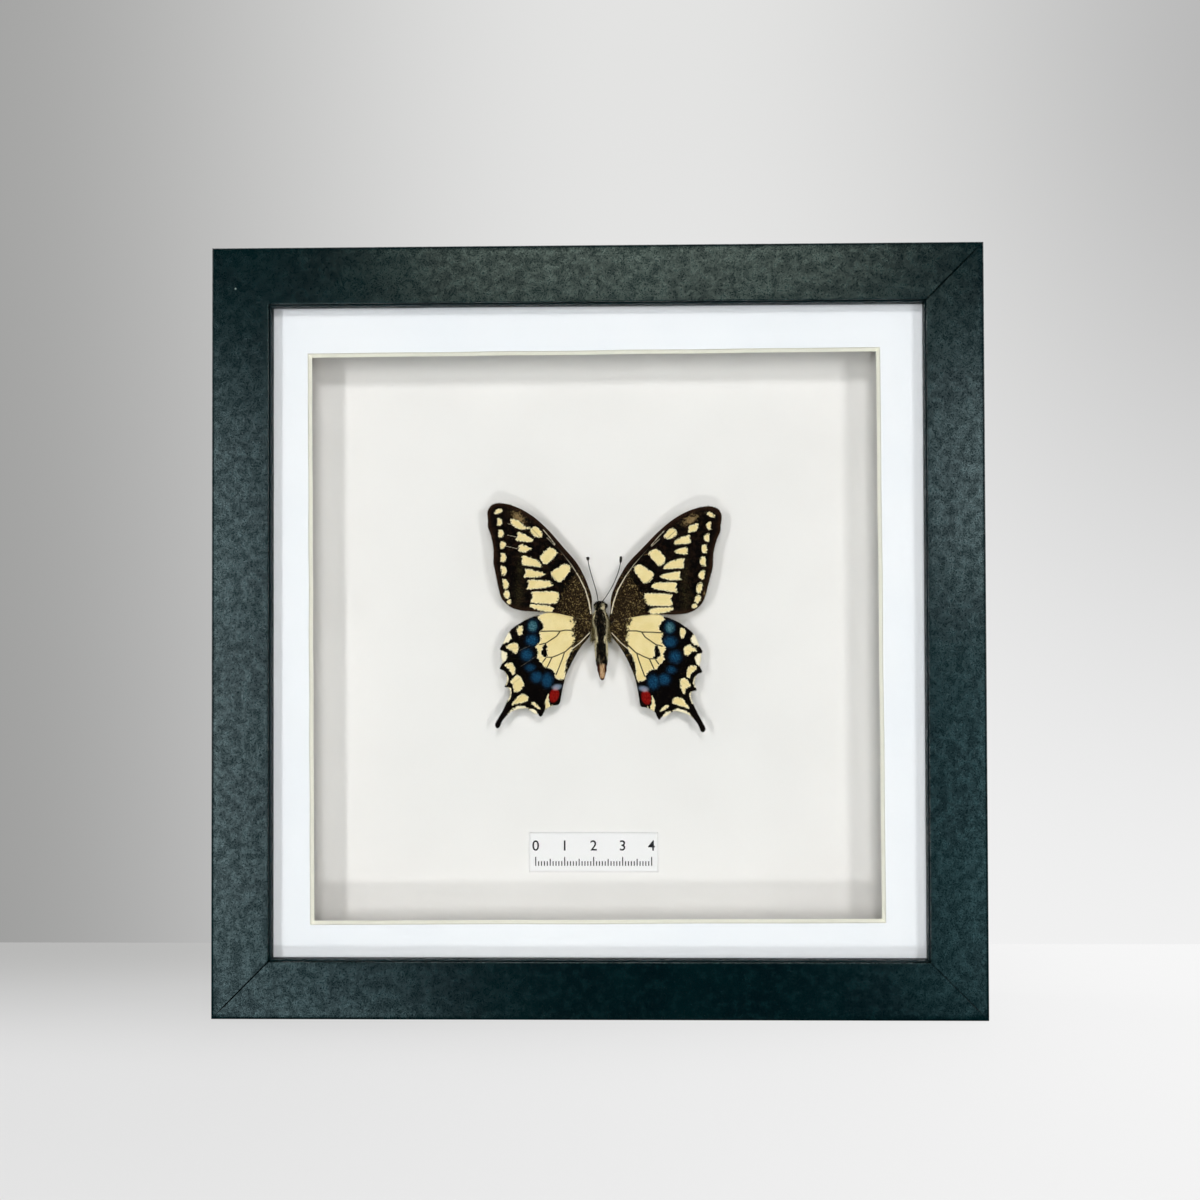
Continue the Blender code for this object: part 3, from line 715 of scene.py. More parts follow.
def half_moon(points, centre, half, tilt=0.0):
    """Depth inside a spot that bulges towards the body and is cut flat outside."""
    wide = oval(points, (centre[0] + 0.3 * half[0], centre[1]), (1.3 * half[0], half[1]), tilt)
    lean = math.tan(math.radians(tilt))
    flat = centre[0] + 0.9 * half[0] - points[:, 0] - lean * (points[:, 1] - centre[1])
    return np.minimum(wide, flat)


def glow(points, centre, half, tilt=0.0):
    """One at a soft spot's middle, falling as a bell curve to under a quarter at its edge."""
    across = 1 - oval(points, centre, half, tilt) / min(half)
    return np.exp(-1.5 * across**2)


def stroke(points, line, width):
    """One on a line, falling off as a bell curve of this width."""
    return np.exp(-((line_distance(points, line) / width) ** 2))


def fill_marks(points, drawn):
    """The strength of each mark at each point, nought for a mark that isn't drawn."""
    return {mark: drawn.get(mark, np.zeros(len(points))) for mark in MARKS}


def forewing_marks(points, left):
    """The forewing's colours at each point. Cream is a depth in millimetres inside its patches,
    and the others go from 0 to 1."""
    patches = [
        [(25.55, 31.1), (25.8, 31.7), (27.8, 33.0), (31.4, 34.05), (31.2, 32.7), (31.8, 30.9),
         (26.4, 30.55)],
        [(25.8, 28.4), (27.4, 29.05), (30.4, 29.85), (30.55, 26.95), (27.8, 27.1), (26.6, 27.7)],
        [(21.8, 21.85), (22.6, 23.5), (24.2, 24.75), (29.45, 25.95), (29.05, 24.05),
         (29.1, 22.25), (25.8, 22.15)],
        [(20.4, 19.3), (22.2, 20.3), (28.0, 21.35), (27.5, 20.15), (27.65, 19.2), (28.3, 18.05),
         (23.9, 18.15)],
        [(17.55, 15.85), (18.5, 16.85), (19.4, 17.35), (26.95, 17.25), (26.2, 15.7),
         (26.4, 14.9), (27.0, 13.8), (24.4, 14.05), (18.9, 15.05)],
        [(15.55, 13.65), (25.15, 13.2), (25.0, 12.25), (24.45, 11.3), (25.0, 10.2), (25.4, 9.05),
         (17.2, 9.1), (15.55, 10.0), (15.15, 11.3), (15.3, 12.7)],
        [(16.8, 7.5), (17.4, 8.1), (19.2, 8.5), (25.1, 8.65), (25.7, 8.2), (24.4, 7.25),
         (20.8, 6.4), (17.4, 6.2)],
        [(22.2, 33.35), (23.05, 34.9), (24.4, 36.15), (25.4, 36.4), (26.8, 35.3), (26.65, 34.05),
         (25.3, 32.8), (23.6, 32.45), (22.65, 32.7)],
        [(16.7, 27.5), (17.8, 28.6), (19.4, 29.2), (20.8, 28.2), (22.8, 25.7), (22.6, 25.0),
         (21.25, 22.95), (20.0, 23.4), (19.2, 24.3), (17.8, 25.7), (17.1, 26.8)],
        [(11.7, 22.95), (13.3, 23.65), (15.1, 23.2), (16.4, 21.8), (17.8, 21.3), (18.7, 20.15),
         (17.8, 18.2), (16.4, 17.25), (15.0, 16.9), (13.6, 18.8), (12.2, 20.7), (11.8, 22.0)],
    ]
    if left:
        patches.append([(26.3, 35.6), (29.5, 37.2), (34.0, 39.0), (33.9, 36.6), (30.3, 34.8)])
    else:
        patches.append([(30.3, 36.75), (34.4, 38.1), (34.0, 36.5), (33.75, 35.3), (30.5, 34.6),
                        (31.05, 35.9)])
    spots = [
        half_moon(points, (37.95, 37.2), (0.9, 1.3)),
        half_moon(points, (37.25, 33.0), (0.9, 1.4)),
        half_moon(points, (36.3, 29.05), (1.0, 1.4)),
        half_moon(points, (35.8, 24.6), (1.05, 1.65)),
        half_moon(points, (35.4, 19.9), (1.0, 1.55), -10),
        half_moon(points, (34.5, 15.3), (0.95, 1.8), -12),
        oval(points, (38.55, 41.0), (1.45, 0.75), -25),
        oval(points, (33.9, 11.4), (1.0, 1.5), -12),
        oval(points, (32.8, 9.0), (0.8, 0.8)),
    ]
    cream = np.max([patch(points, corners) for corners in patches] + spots, axis=0)
    vein = nearest_line(points, FOREWING_VEINS)
    basal = [(3.0, 4.0), (4.3, 13), (9.5, 21.5), (11.4, 18.4), (14.6, 12), (15.6, 7), (10, 4.6)]
    dust = np.clip(patch(points, basal) / 3.0 + 0.5, 0, 1)
    smear = 0.35 * glow(points, (29.5, 12), (2.0, 5.5)) + 0.3 * glow(points, (29.5, 22), (1.6, 5))
    tan = glow(points, (31.4, 39.2), (4.2, 2.0), 32)
    # The pale strokes along the costa are painted highlight on the raised costal veins.
    pale = 0.8 * stroke(points, [(17.8, 30.4), (20, 33.0), (22.2, 35.3)], 0.14)
    pale += 0.7 * stroke(points, [(17.8, 29.9), (20.8, 32.6)], 0.1)
    costa = [(3.1, 6.9), (4.0, 11.0), (5.5, 15.2), (8, 19.6), (11, 23.8), (14.5, 27.8), (17.5, 31)]
    fade = np.clip((33 - points[:, 1]) / 22, 0, 1)
    pale += 1.1 * fade * stroke(points, np.array(costa) + (0.55, -0.35), 0.21)
    if left:
        cream = np.minimum(cream, -oval(points, (28.4, 36.9), (1.5, 0.9), 20))
        for start, end in (((28.5, 35.6), (35, 36.8)), ((25.8, 31.3), (34.8, 32.7)),
                           ((28, 27.5), (35.3, 28.8))):
            pale += 0.6 * stroke(points, [start, end], 0.12)
    else:
        tan = np.maximum(tan, 0.9 * glow(points, (36.2, 13.2), (0.8, 1.2)))
    tail = stroke(points, [(15.1, 26.9), (17.0, 27.3)], 0.2)
    tan = np.maximum(tan, np.maximum(0.6 * tail, 0.7 * glow(points, (27.2, 34.1), (0.5, 0.3))))
    return fill_marks(points, {
        "cream": cream,
        "vein": 0.5 * np.exp(-((vein / 0.16) ** 2)),
        "dust": dust,
        "smear": smear,
        "tan": tan,
        "pale": np.clip(pale, 0, 1),
        "brown": np.ones(len(points)),
    })


def hindwing_marks(points, left):
    """The hindwing's colours at each point, as for the forewing."""
    patches = [
        [(8.6, 1.0), (8.4, 5.6), (12, 6.2), (17, 7.2), (20.5, 6.6), (22.6, 4.6), (21.6, 3.8),
         (20.7, 2.6), (20.2, 1.2), (20.9, 0.2), (22.0, -0.7), (21.3, -1.6), (21.1, -2.8),
         (21.5, -4.1), (22.8, -5.5), (22.6, -6.4), (21.9, -7.6), (22.0, -8.7), (22.3, -9.5),
         (21.4, -10.8), (20.3, -11.7), (19.9, -12.9), (18.0, -13.2), (16.6, -13.9),
         (15.7, -15.0), (15.6, -16.5), (14.8, -17.0), (12.7, -17.4), (12.0, -14.8),
         (11.5, -12), (10.7, -9.3), (9.6, -7.0), (9.2, -5.2), (8.6, -4.0), (8.6, -0.6)],
        [(27.8, 1.3), (28.9, 1.4), (29.95, -0.1), (29.3, -1.2), (29.0, -2.4), (28.2, -2.0),
         (27.6, -0.3)],
        [(29.4, -5.0), (30.8, -4.55), (32.2, -5.2), (33.6, -6.3), (33.0, -6.9), (31.7, -7.1),
         (30.7, -8.2), (30.0, -8.4), (29.2, -7.6), (29.0, -5.9)],
        [(29.9, -14.8), (30.0, -13.4), (30.8, -12.1), (32.2, -11.6), (33.75, -12.55),
         (33.3, -13.25), (31.9, -14.2), (31.25, -15.6), (30.8, -16.2), (30.1, -15.75)],
        [(27.6, -17.3), (28.05, -16.6), (29.4, -16.1), (30.8, -17.4), (31.5, -18.7),
         (30.6, -19.5), (29.6, -20.05), (29.4, -21.2), (29.5, -22.0), (28.75, -21.4),
         (28.05, -19.8), (27.8, -18.4)],
        [(24.9, -25.1), (25.0, -23.7), (26.4, -22.6), (28.3, -23.2), (29.7, -24.8),
         (31.0, -26.9), (28.9, -26.3), (26.7, -25.6)],
        [(20.4, -27.8), (21.1, -26.9), (22.8, -25.5), (23.9, -25.6), (23.3, -26.4),
         (21.9, -27.4), (20.8, -28.1)],
    ]
    edging = [
        [(32.4, -0.9), (31.5, -2.4), (31.8, -3.6), (32.8, -4.5), (34.4, -5.2), (38, -4), (34, 0)],
        [(34.9, -7.5), (33.4, -8.0), (32.8, -9.3), (33.2, -10.7), (34.5, -12.2), (38, -12),
         (38, -8)],
        [(34.4, -14.6), (33.0, -15.5), (32.3, -16.8), (32.3, -18.3), (32.9, -19.8), (36, -19),
         (38, -15)],
        [(32.7, -20.5), (31.3, -20.9), (30.8, -22.0), (31.2, -23.8), (32.0, -25.6), (35, -24),
         (35, -21)],
        [(32.4, -30.4), (31, -28.6), (29, -27.3), (27, -26.8), (25.6, -27.1), (25, -27.7),
         (25, -31)],
        [(24.6, -27.7), (23, -27.9), (21.9, -28.8), (21.2, -30.1), (22, -32), (25.2, -30)],
        [(17.8, -22.2), (18.5, -23.6), (18.9, -25.5), (18.7, -28.0), (17.0, -26.9),
         (17.4, -25.5), (17.9, -24.0)],
        [(14.0, -26.1), (16.3, -26.3), (18.5, -27.2), (18.7, -28.6), (16, -28), (13.5, -27)],
    ]
    edging = [patch(points, corners) for corners in edging]
    inner_rim = [(12.3, -17.6), (12.9, -20.5), (13.5, -23.5), (13.9, -25.9), (15.3, -25.9),
                 (17.0, -25.0)]
    if left:
        patches.append([(26.5, -18.9), (27.6, -17.7), (29.9, -17.9), (30.6, -19.6), (30.2, -22.2),
                        (28.7, -22.2), (27.3, -20.9)])
    cream = np.max([patch(points, corners) for corners in patches] + edging, axis=0)
    cell_end = [(19.0, -4.8), (20.0, -4.8), (20.5, -6.7), (21.0, -8.4), (20.0, -9.1),
                (19.2, -9.4), (18.1, -9.1), (18.9, -8.4), (18.75, -6.4)]
    cream = np.minimum(cream, -patch(points, cell_end))
    cream = np.minimum(cream, line_distance(points, inner_rim) - 0.75)
    inner_stripe = [(3.5, -1.5), (7.1, -4.8), (9.9, -8.4), (11.4, -11.6), (12.1, -14.6)]
    stripe_half = np.interp(points[:, 1], [-14.6, -12, -5], [0.1, 0.55, 1.15])
    cream = np.minimum(cream, line_distance(points, inner_stripe) - stripe_half)
    veins = [stroke(points, line, 0.2) for line in HINDWING_VEINS]
    stem = np.clip((14 - points[:, 0]) / 6, 0, 1)
    veins.append(stroke(points, HINDWING_VEINS[2], 0.34) * stem)
    veins.append(0.35 * np.exp(-((nearest_line(points, HINDWING_DARK_VEINS) / 0.14) ** 2)))
    basal = [(3.0, 4.2), (9.0, 5.4), (10.4, 4.2), (9.2, 1.6), (9.4, -1.5), (9.0, -4.0),
             (9.6, -5.9), (8.0, -6.5), (3.0, -0.6)]
    inner = [(3.5, -1.0), (6.5, -4.6), (9, -8.2), (10.6, -11.2), (11.6, -14.2), (12.3, -17.5)]
    band = 1.0 - line_distance(points, inner) / np.interp(points[:, 1], [-17, -5], [0.6, 1.7])
    dust = np.maximum(patch(points, basal) / 2.4 + 0.5, 0.45 * band)
    blues = [
        glow(points, (24.1, 1.5), (2.3, 2.8)),
        glow(points, (24.3, -3.5), (2.8, 2.5)),
        0.95 * glow(points, (26.0, -8.8), (2.7, 2.8)),
        0.75 * glow(points, (24.6, -13.3), (2.5, 1.9)),
        1.05 * glow(points, (22.2, -16.6), (2.6, 2.4)),
        1.05 * glow(points, (18.4, -17.6), (2.5, 3.1)),
    ]
    red = oval(points, (15.8, -22.9), (1.7, 2.6), 14)
    # The pale strokes along the veins are partly painted highlight on raised veins and partly
    # rubbed scales.
    pale = stroke(points, [(3.8, -0.3), (7, -3.8), (10.5, -6.7)], 0.17) * 0.85
    pale += 0.3 * stroke(points, [(3.6, 3.1), (5.2, 4.3), (8.0, 4.7), (10.2, 4.2)], 0.13)
    if left:
        pale += 0.35 * stroke(points, [(25, -5.5), (31.5, -8.8)], 0.1)
        pale += 0.35 * stroke(points, [(22.5, -9.2), (28, -13)], 0.1)
        pale += 0.3 * glow(points, (18, 3.8), (1.6, 0.7))
    return fill_marks(points, {
        "cream": cream,
        "vein": np.clip(np.max(veins, axis=0), 0, 1),
        "dust": np.clip(dust, 0, 1),
        "pale": np.clip(pale, 0, 1),
        "blue": np.max(blues, axis=0),
        "red": np.clip(red / 1.2 + 0.5, 0, 1),
        "lilac": glow(points, (14.9, -19.9), (2.5, 1.5), -14),
        "teal": glow(points, (24.2, 1.5), (2.2, 2.6)),
        "fringe": np.clip(np.max(edging[:6], axis=0) / 0.3 + 0.5, 0, 1),
        "brown": np.full(len(points), 0.1),
    })


def wing_grid(outline):
    """Points and quads that fill an outline: the cells of a square grid whose middles are inside,
    with the points on their rim brought to the outline."""
    low, high = outline.min(axis=0) - WING_PITCH, outline.max(axis=0) + WING_PITCH
    across = np.arange(low[0], high[0], WING_PITCH)
    up = np.arange(low[1], high[1], WING_PITCH)
    grid = np.stack(np.meshgrid(across, up, indexing="ij"), axis=-1)
    middles = (grid[:-1, :-1] + WING_PITCH / 2).reshape(-1, 2)
    kept = grid_faces(len(across), len(up))[depth_inside(middles, outline)[0] > 0]
    uses = np.bincount(kept.ravel(), minlength=len(across) * len(up))
    used = uses > 0
    points = grid.reshape(-1, 2)[used]
    depth, nearest = depth_inside(points, outline)
    rim = uses[used] < 4
    points[rim] = nearest[rim]
    depth[rim] = 0
    return points, (np.cumsum(used) - 1)[kept], depth


def posed(points, side, turn, stretch):
    """Drawn points where they are on the specimen: turned and stretched about the root and, on
    the left, mirrored."""
    offset = (points - WING_ROOT) * stretch
    angle = math.radians(turn)
    u = WING_ROOT[0] + offset[:, 0] * math.cos(angle) - offset[:, 1] * math.sin(angle)
    v = WING_ROOT[1] + offset[:, 0] * math.sin(angle) + offset[:, 1] * math.cos(angle)
    return np.stack([side * np.maximum(u, NEAREST_AXIS), v], axis=1)


def on_specimen(u, v, y):
    """Drawn millimetres, and a y in true millimetres, as a point in metres."""
    x = SPECIMEN_CENTRE[0] + u * SPECIMEN_SCALE
    z = SPECIMEN_CENTRE[1] + v * SPECIMEN_SCALE
    return np.stack([x, np.broadcast_to(y, x.shape), z], axis=-1) * MM


def wing_height(points, veins, plane, swell):
    """The membrane's y: a ridge along each vein, a shallow sag between veins, slow waves across
    the sheet, and a swell that is highest midway out from the body."""
    gap = nearest_line(points, veins)
    ridge = RIDGE_HEIGHT * np.exp(-((gap / RIDGE_WIDTH) ** 2))
    sag = SAG_DEPTH * (1 - np.exp(-((gap / SAG_WIDTH) ** 2)))
    u, v = points.T
    wave = 0.05 * np.sin(0.42 * u + 0.27 * v) + 0.04 * np.sin(0.71 * v - 0.33 * u + 1.3)
    dome = swell * np.sin(np.clip((u - WING_ROOT[0]) / WING_REACH, 0, 1) * math.pi)
    return plane - (ridge - sag) - wave - dome


def about_zero(tree, value, reach):
    """A noise moved so that its middle is nought, and scaled."""
    return times(tree, maths(tree, "SUBTRACT", value, 0.5), reach)


def wing_finish():
    """Scales: a ragged edge to every patch, a fine shingle over all, and a colour for each mark."""
    made, tree, shader = new_finish("wing_scales", Roughness=0.8, Specular_IOR_Level=0.02)
    point = object_point(tree)
    ragged = noise(tree, point, 1700, 3.0, 0.8)
    fine = noise(tree, point, 3000, 3.0, 0.8)
    clumps = noise(tree, point, 620, 4.0, 0.8)
    broad = noise(tree, point, 240, 3.0)
    shingle = add_node(tree, "TexVoronoi", {"Vector": point, "Scale": 8500.0})["Distance"]
    jitter = about_zero(tree, ragged, 2.3)
    drift = about_zero(tree, clumps, 3.4)
    flecks = level(tree, fine, 0.45, 0.6)

    def torn(mark, share):
        """A mark whose edge moves with this share of the jitter."""
        return plus(tree, attribute(tree, mark), times(tree, jitter, share))

    inside = plus(tree, attribute(tree, "cream"), jitter)
    forewing = attribute(tree, "brown")
    rust = times(tree, level(tree, clumps, 0.47, 0.62), forewing)
    black = mix(tree, rust, shade(3, 2, 2), shade(28, 17, 10))
    rim = times(tree, level(tree, attribute(tree, "rim"), 0.1, 1.8, 0.9, 0.0), fine)
    tone = mix(tree, times(tree, rim, forewing), black, shade(56, 36, 24))
    smear = times(tree, attribute(tree, "smear"), level(tree, ragged, 0.4, 0.65))
    tone = mix(tree, smear, tone, shade(84, 76, 44))
    tan = level(tree, torn("tan", 1.1), 0.3, 1.1, 0.0, 0.85)
    tone = mix(tree, tan, tone, shade(146, 122, 82))

    azure = mix(tree, flecks, shade(4, 34, 60), shade(30, 86, 120))
    teal = mix(tree, flecks, shade(34, 76, 88), shade(84, 128, 140))
    azure = mix(tree, level(tree, attribute(tree, "teal"), 0.3, 0.6), azure, teal)
    tone = mix(tree, level(tree, torn("blue", 0.25), 0.1, 0.95, 0.0, 0.95), tone, azure)
    scarlet = mix(tree, flecks, shade(104, 6, 5), shade(146, 26, 20))
    tone = mix(tree, level(tree, attribute(tree, "red"), 0.3, 0.8), tone, scarlet)
    lilac = mix(tree, attribute(tree, "red"), shade(118, 132, 150), shade(176, 146, 150))
    tone = mix(tree, level(tree, torn("lilac", 0.2), 0.25, 0.9, 0.0, 0.95), tone, lilac)

    cream = mix(tree, level(tree, broad, 0.3, 0.7), shade(228, 208, 146), shade(236, 218, 162))
    cream = mix(tree, level(tree, fine, 0.38, 0.5, 0.3, 0.0), cream, shade(204, 178, 116))
    paler = level(tree, attribute(tree, "cream"), 0.0, 0.6, 0.45, 0.0)
    cream = mix(tree, paler, cream, shade(243, 234, 200))
    cream = mix(tree, attribute(tree, "fringe"), cream, shade(242, 231, 198))
    tone = mix(tree, level(tree, inside, -0.08, 0.1), tone, cream)

    dusty = mix(tree, level(tree, fine, 0.48, 0.58), shade(15, 9, 5), shade(52, 39, 22))
    dusty = mix(tree, level(tree, ragged, 0.56, 0.63), dusty, shade(136, 116, 74))
    edge = level(tree, plus(tree, torn("dust", 0.35), drift), 0.28, 0.6)
    dusted = times(tree, edge, level(tree, attribute(tree, "dust"), 0.0, 0.12))
    tone = mix(tree, dusted, tone, dusty)
    vein = times(tree, attribute(tree, "vein"), level(tree, inside, 0, 0.1, 0.25))
    tone = mix(tree, level(tree, vein, 0.12, 0.6, 0.0, 0.92), tone, shade(38, 29, 17))
    # The pale mark: partly rubbed scales, partly painted highlight on raised veins.
    wear_and_highlight = times(tree, attribute(tree, "pale"), level(tree, ragged, 0.25, 0.5))
    tone = mix(tree, level(tree, wear_and_highlight, 0.12, 0.7, 0.0, 0.95), tone, shade(218, 206, 180))

    overlap = relief(tree, shingle, 0.012 * MM)
    lead(tree, shader, Base_Color=tone, Normal=relief(tree, fine, 0.02 * MM, overlap))
    return made


def wisps(roots, aims, lengths, widths, bends, rng):
    """Tapered three-sided hairs. Each has an open ring at its root and a narrower one half way,
    and ends in a point. It leaves along its aim and leans by its bend as the square of the share
    out. Returns the points, the faces, and how many points belong to one hair."""
    count = len(roots)
    aims = aims / np.linalg.norm(aims, axis=1, keepdims=True)
    helper = np.where(np.abs(aims[:, 1:2]) < 0.9, [[0.0, 1.0, 0.0]], [[1.0, 0.0, 0.0]])
    side = np.cross(aims, helper)
    side = side / np.linalg.norm(side, axis=1, keepdims=True)
    third = np.cross(aims, side)
    angle = rng.uniform(0, 2 * math.pi, count)[:, None] + np.arange(3) * 2 * math.pi / 3
    around = np.cos(angle)[..., None] * side[:, None] + np.sin(angle)[..., None] * third[:, None]
    rings = []
    for share, width in ((0.0, 1.0), (0.5, 0.7)):
        middle = roots + aims * lengths[:, None] * share + bends * share**2
        rings.append(middle[:, None] + around * (widths[:, None, None] * width))
    tip = (roots + aims * lengths[:, None] + bends)[:, None]
    points = np.concatenate([*rings, tip], axis=1).reshape(-1, 3)
    step = np.arange(3)
    after = (step + 1) % 3
    lower = np.stack([step, after, after + 3, step + 3], axis=1)
    upper = np.stack([step + 3, after + 3, np.full(3, 6)], axis=1)
    first = np.arange(count)[:, None, None] * 7
    faces = (first + lower).reshape(-1, 4).tolist() + (first + upper).reshape(-1, 3).tolist()
    return points, faces, 7


def wing_fringe(name, outline, marks, left, plane, veins, pose, finish, seed):
    """Short hair scales along the outer margin, each the colour of the wing at its root. The
    root and the leading edge stay bare."""
    rng = np.random.default_rng(seed)
    step = np.roll(outline, -1, axis=0) - outline
    length = np.hypot(*step.T)
    travel = np.cumsum(length)
    spots = np.sort(rng.uniform(0, travel[-1], int(travel[-1] / FRINGE_SPACING)))
    which = np.searchsorted(travel, spots)
    share = (spots - travel[which] + length[which]) / length[which]
    place = outline[which] + step[which] * share[:, None]
    outward = np.stack([-step[which, 1], step[which, 0]], axis=1) / length[which, None]
    far_out = (place[:, 0] > 15) | (place[:, 1] < -8)
    free = far_out & ((outward[:, 0] > -0.25) | (outward[:, 1] < -0.3))
    place, outward = place[free], outward[free]
    colours = marks(place - outward * 0.3, left)
    here = posed(place - outward * 0.08, *pose)
    there = posed(place + outward * 0.5, *pose)
    depth = wing_height(place, veins, plane, 0.2) + 0.04
    roots = on_specimen(here[:, 0], here[:, 1], depth)
    aims = on_specimen(there[:, 0], there[:, 1], depth + rng.normal(0.03, 0.08, len(depth))) - roots
    count = len(roots)
    aims = aims + rng.normal(0, 0.09 * MM, (count, 3))
    lengths = rng.uniform(*FRINGE_LENGTH, count)
    bends = rng.normal(0, 0.05 * MM, (count, 3))
    points, faces, each = wisps(roots, aims, lengths, np.full(count, FRINGE_RADIUS), bends, rng)
    values = {key: np.repeat(numbers, each) for key, numbers in colours.items()}
    values["rim"] = np.zeros(len(points))
    piece(name, points, faces, [finish], values)


def wing(name, outline, veins, marks, plane, swell, pose, finish, seed):
    """One wing: its grid, its height and its colours, posed by its side, turn and stretch, and
    given the membrane's thickness behind."""
    edge = smooth_outline(outline, OUTLINE_STEPS)
    points, faces, depth = wing_grid(edge)
    left = pose[0] < 0
    values = marks(points, left)
    values["rim"] = depth
    place = on_specimen(*posed(points, *pose).T, wing_height(points, veins, plane, swell))
    if left:
        faces = faces[:, ::-1]
    made = piece(f"{name}_membrane", place, faces.tolist(), [finish], values)
    thicken = made.modifiers.new("membrane", "SOLIDIFY")
    thicken.thickness = MEMBRANE
    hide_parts(name)
    wing_fringe(f"{name}_fringe", edge, marks, left, plane, veins, pose, finish, seed)


scales = wing_finish()
hind_ridges = HINDWING_VEINS + HINDWING_DARK_VEINS
for side, word, fore_turn, hind_turn, stretch, seed in (
    (1, "right", 0.0, 0.0, 1.0, 11),
    (-1, "left", 3.4, 1.8, 0.987, 23),
):
    wing(f"forewing_{word}", FOREWING, FOREWING_VEINS, forewing_marks, FOREWING_PLANE, 0.15,
         (side, fore_turn, stretch), scales, seed)
    wing(f"hindwing_{word}", HINDWING, hind_ridges, hindwing_marks, HINDWING_PLANE, 0.05,
         (side, hind_turn, stretch), scales, seed + 1)

# ---------------------------------------------------------------------------------------------
# The body: head, thorax and abdomen, dried hard under a coat of hair. The hair is black down the
# back, cream along the collar, and yellow at the sides and over the roots of the hindwings. The
# last rings of the abdomen are bare and tan.

BODY_DEPTH = 5.0
BODY_LEAN = math.tan(math.radians(1.5))
TAIL_END, CROWN, NECK = -16.9, 11.0, 7.5
BODY_PROFILE = [
    (0.0, TAIL_END), (0.5, -16.75), (0.85, -16.2), (1.15, -15.0), (1.6, -13.6), (1.7, -12.3),
    (1.95, -10.0), (2.2, -7.0), (2.25, -4.0), (2.0, -2.0), (2.35, -0.6), (2.75, 1.5), (2.85, 4.0),
    (2.55, 6.0), (1.7, NECK), (1.95, 8.6), (2.0, 9.6), (1.3, 10.5), (0.6, 10.9), (0.0, CROWN),
]
ABDOMEN_RING = 1.9
TUFT_HAIRS = 1500
TUFT_RADIUS = 0.04 * MM
BODY_ROWS = 220
BODY_COLUMNS = 56


def body_radius(v):
    """Half the body's width, with a shallow waist at each ring of the abdomen."""
    half, along = np.array(BODY_PROFILE).T
    radius = np.interp(v, along, half)
    ring = np.clip((-v - 2) / 2, 0, 1) * np.clip((v + 16.6) / 0.6, 0, 1)
    from_waist = np.mod(-v, ABDOMEN_RING) - ABDOMEN_RING / 2
    return radius - 0.09 * ring * np.exp(-(from_waist / 0.22) ** 2)


def body_surface(v, angle):
    """A point of the body. The angle is 0 at the front and grows towards the right."""
    radius = body_radius(v)
    flat = np.where(v > NECK, 0.85, 0.95)
    u = radius * np.sin(angle) - BODY_LEAN * v
    y = BODY_DEPTH - radius * SPECIMEN_SCALE * flat * np.cos(angle)
    return on_specimen(u, v, y)


def line_share(u, v, heights, offsets, width):
    """One on a line drawn as an offset u for each height v, falling off as a bell curve."""
    inside = (v > min(heights)) * (v < max(heights))
    return np.exp(-(((u - np.interp(v, heights, offsets)) / width) ** 2)) * inside


def bell(u, v, centre, half):
    """One at a spot's middle, falling off as a bell curve with these half widths."""
    return np.exp(-(((u - centre[0]) / half[0]) ** 2) - ((v - centre[1]) / half[1]) ** 2)


def body_tones(u, v):
    """Where the hair is cream, where it is yellow and where the skin is tan, each from 0 to 1, for
    a point u from the axis."""
    out = np.abs(u)
    lines = [
        ([-1.6, 1.0, 2.5, 3.6, 5.4, 7.6], [-1.6, -1.6, -2.0, -2.3, -2.2, -1.5], 0.21, 1.0),
        ([-1.6, 1.8, 3.6, 5.4, 7.6], [1.8, 2.0, 2.3, 2.0, 1.2], 0.22, 1.0),
        ([-0.5, 3.0, 6.8], [-1.2, -1.5, -1.3], 0.13, 0.5),
        ([1.5, 3.6, 6.4], [1.6, 1.3, 0.9], 0.13, 0.5),
    ]
    parts = [share * line_share(u, v, *line) for *line, share in lines]
    waist = 1.3 * np.clip((out - 0.95) / 0.25, 0, 1) * np.exp(-(((v + 2.5) / 1.2) ** 2))
    flank = np.interp(v, [-12, -8, -4], [1.7, 1.5, 1.45])
    flank = 0.8 * np.clip((out - flank) / 0.3, 0, 1) * (v < -3.0) * (v > -9.5)
    crumbs = 0.5 * bell(u, v, (-0.9, -9.8), (0.5, 1.6))
    right_face = np.exp(-((((u - 0.9) / 0.75) ** 2 + ((v - 8.8) / 1.15) ** 2) ** 2))
    right_face = right_face - 0.8 * bell(u, v, (0.7, 8.9), (0.3, 0.35))
    left_face = 0.6 * bell(u, v, (-1.6, 8.7), (0.35, 0.9))
    cream = np.max(parts + [waist, flank, crumbs, right_face, left_face], axis=0)
    olive = np.clip((out - 1.5) / 0.5, 0, 1) * (v > -2.0) * (v < 7.4) * 0.7
    yellow = np.maximum(olive, 0.8 * np.clip((out - 2.1) / 0.4, 0, 1) * (v > -2.5) * (v < 3.0))
    tan = np.clip((-10.7 - v) / 0.8, 0, 1)
    rust = np.clip(np.maximum((u - 0.7) / 0.5, (-0.5 - u) / 0.5), 0, 1) * tan
    rust = np.maximum(rust, np.clip((-15.9 - v) / 0.4, 0, 1))
    return {"cream": np.clip(cream, 0, 1), "yellow": yellow, "tan": tan, "rust": rust}


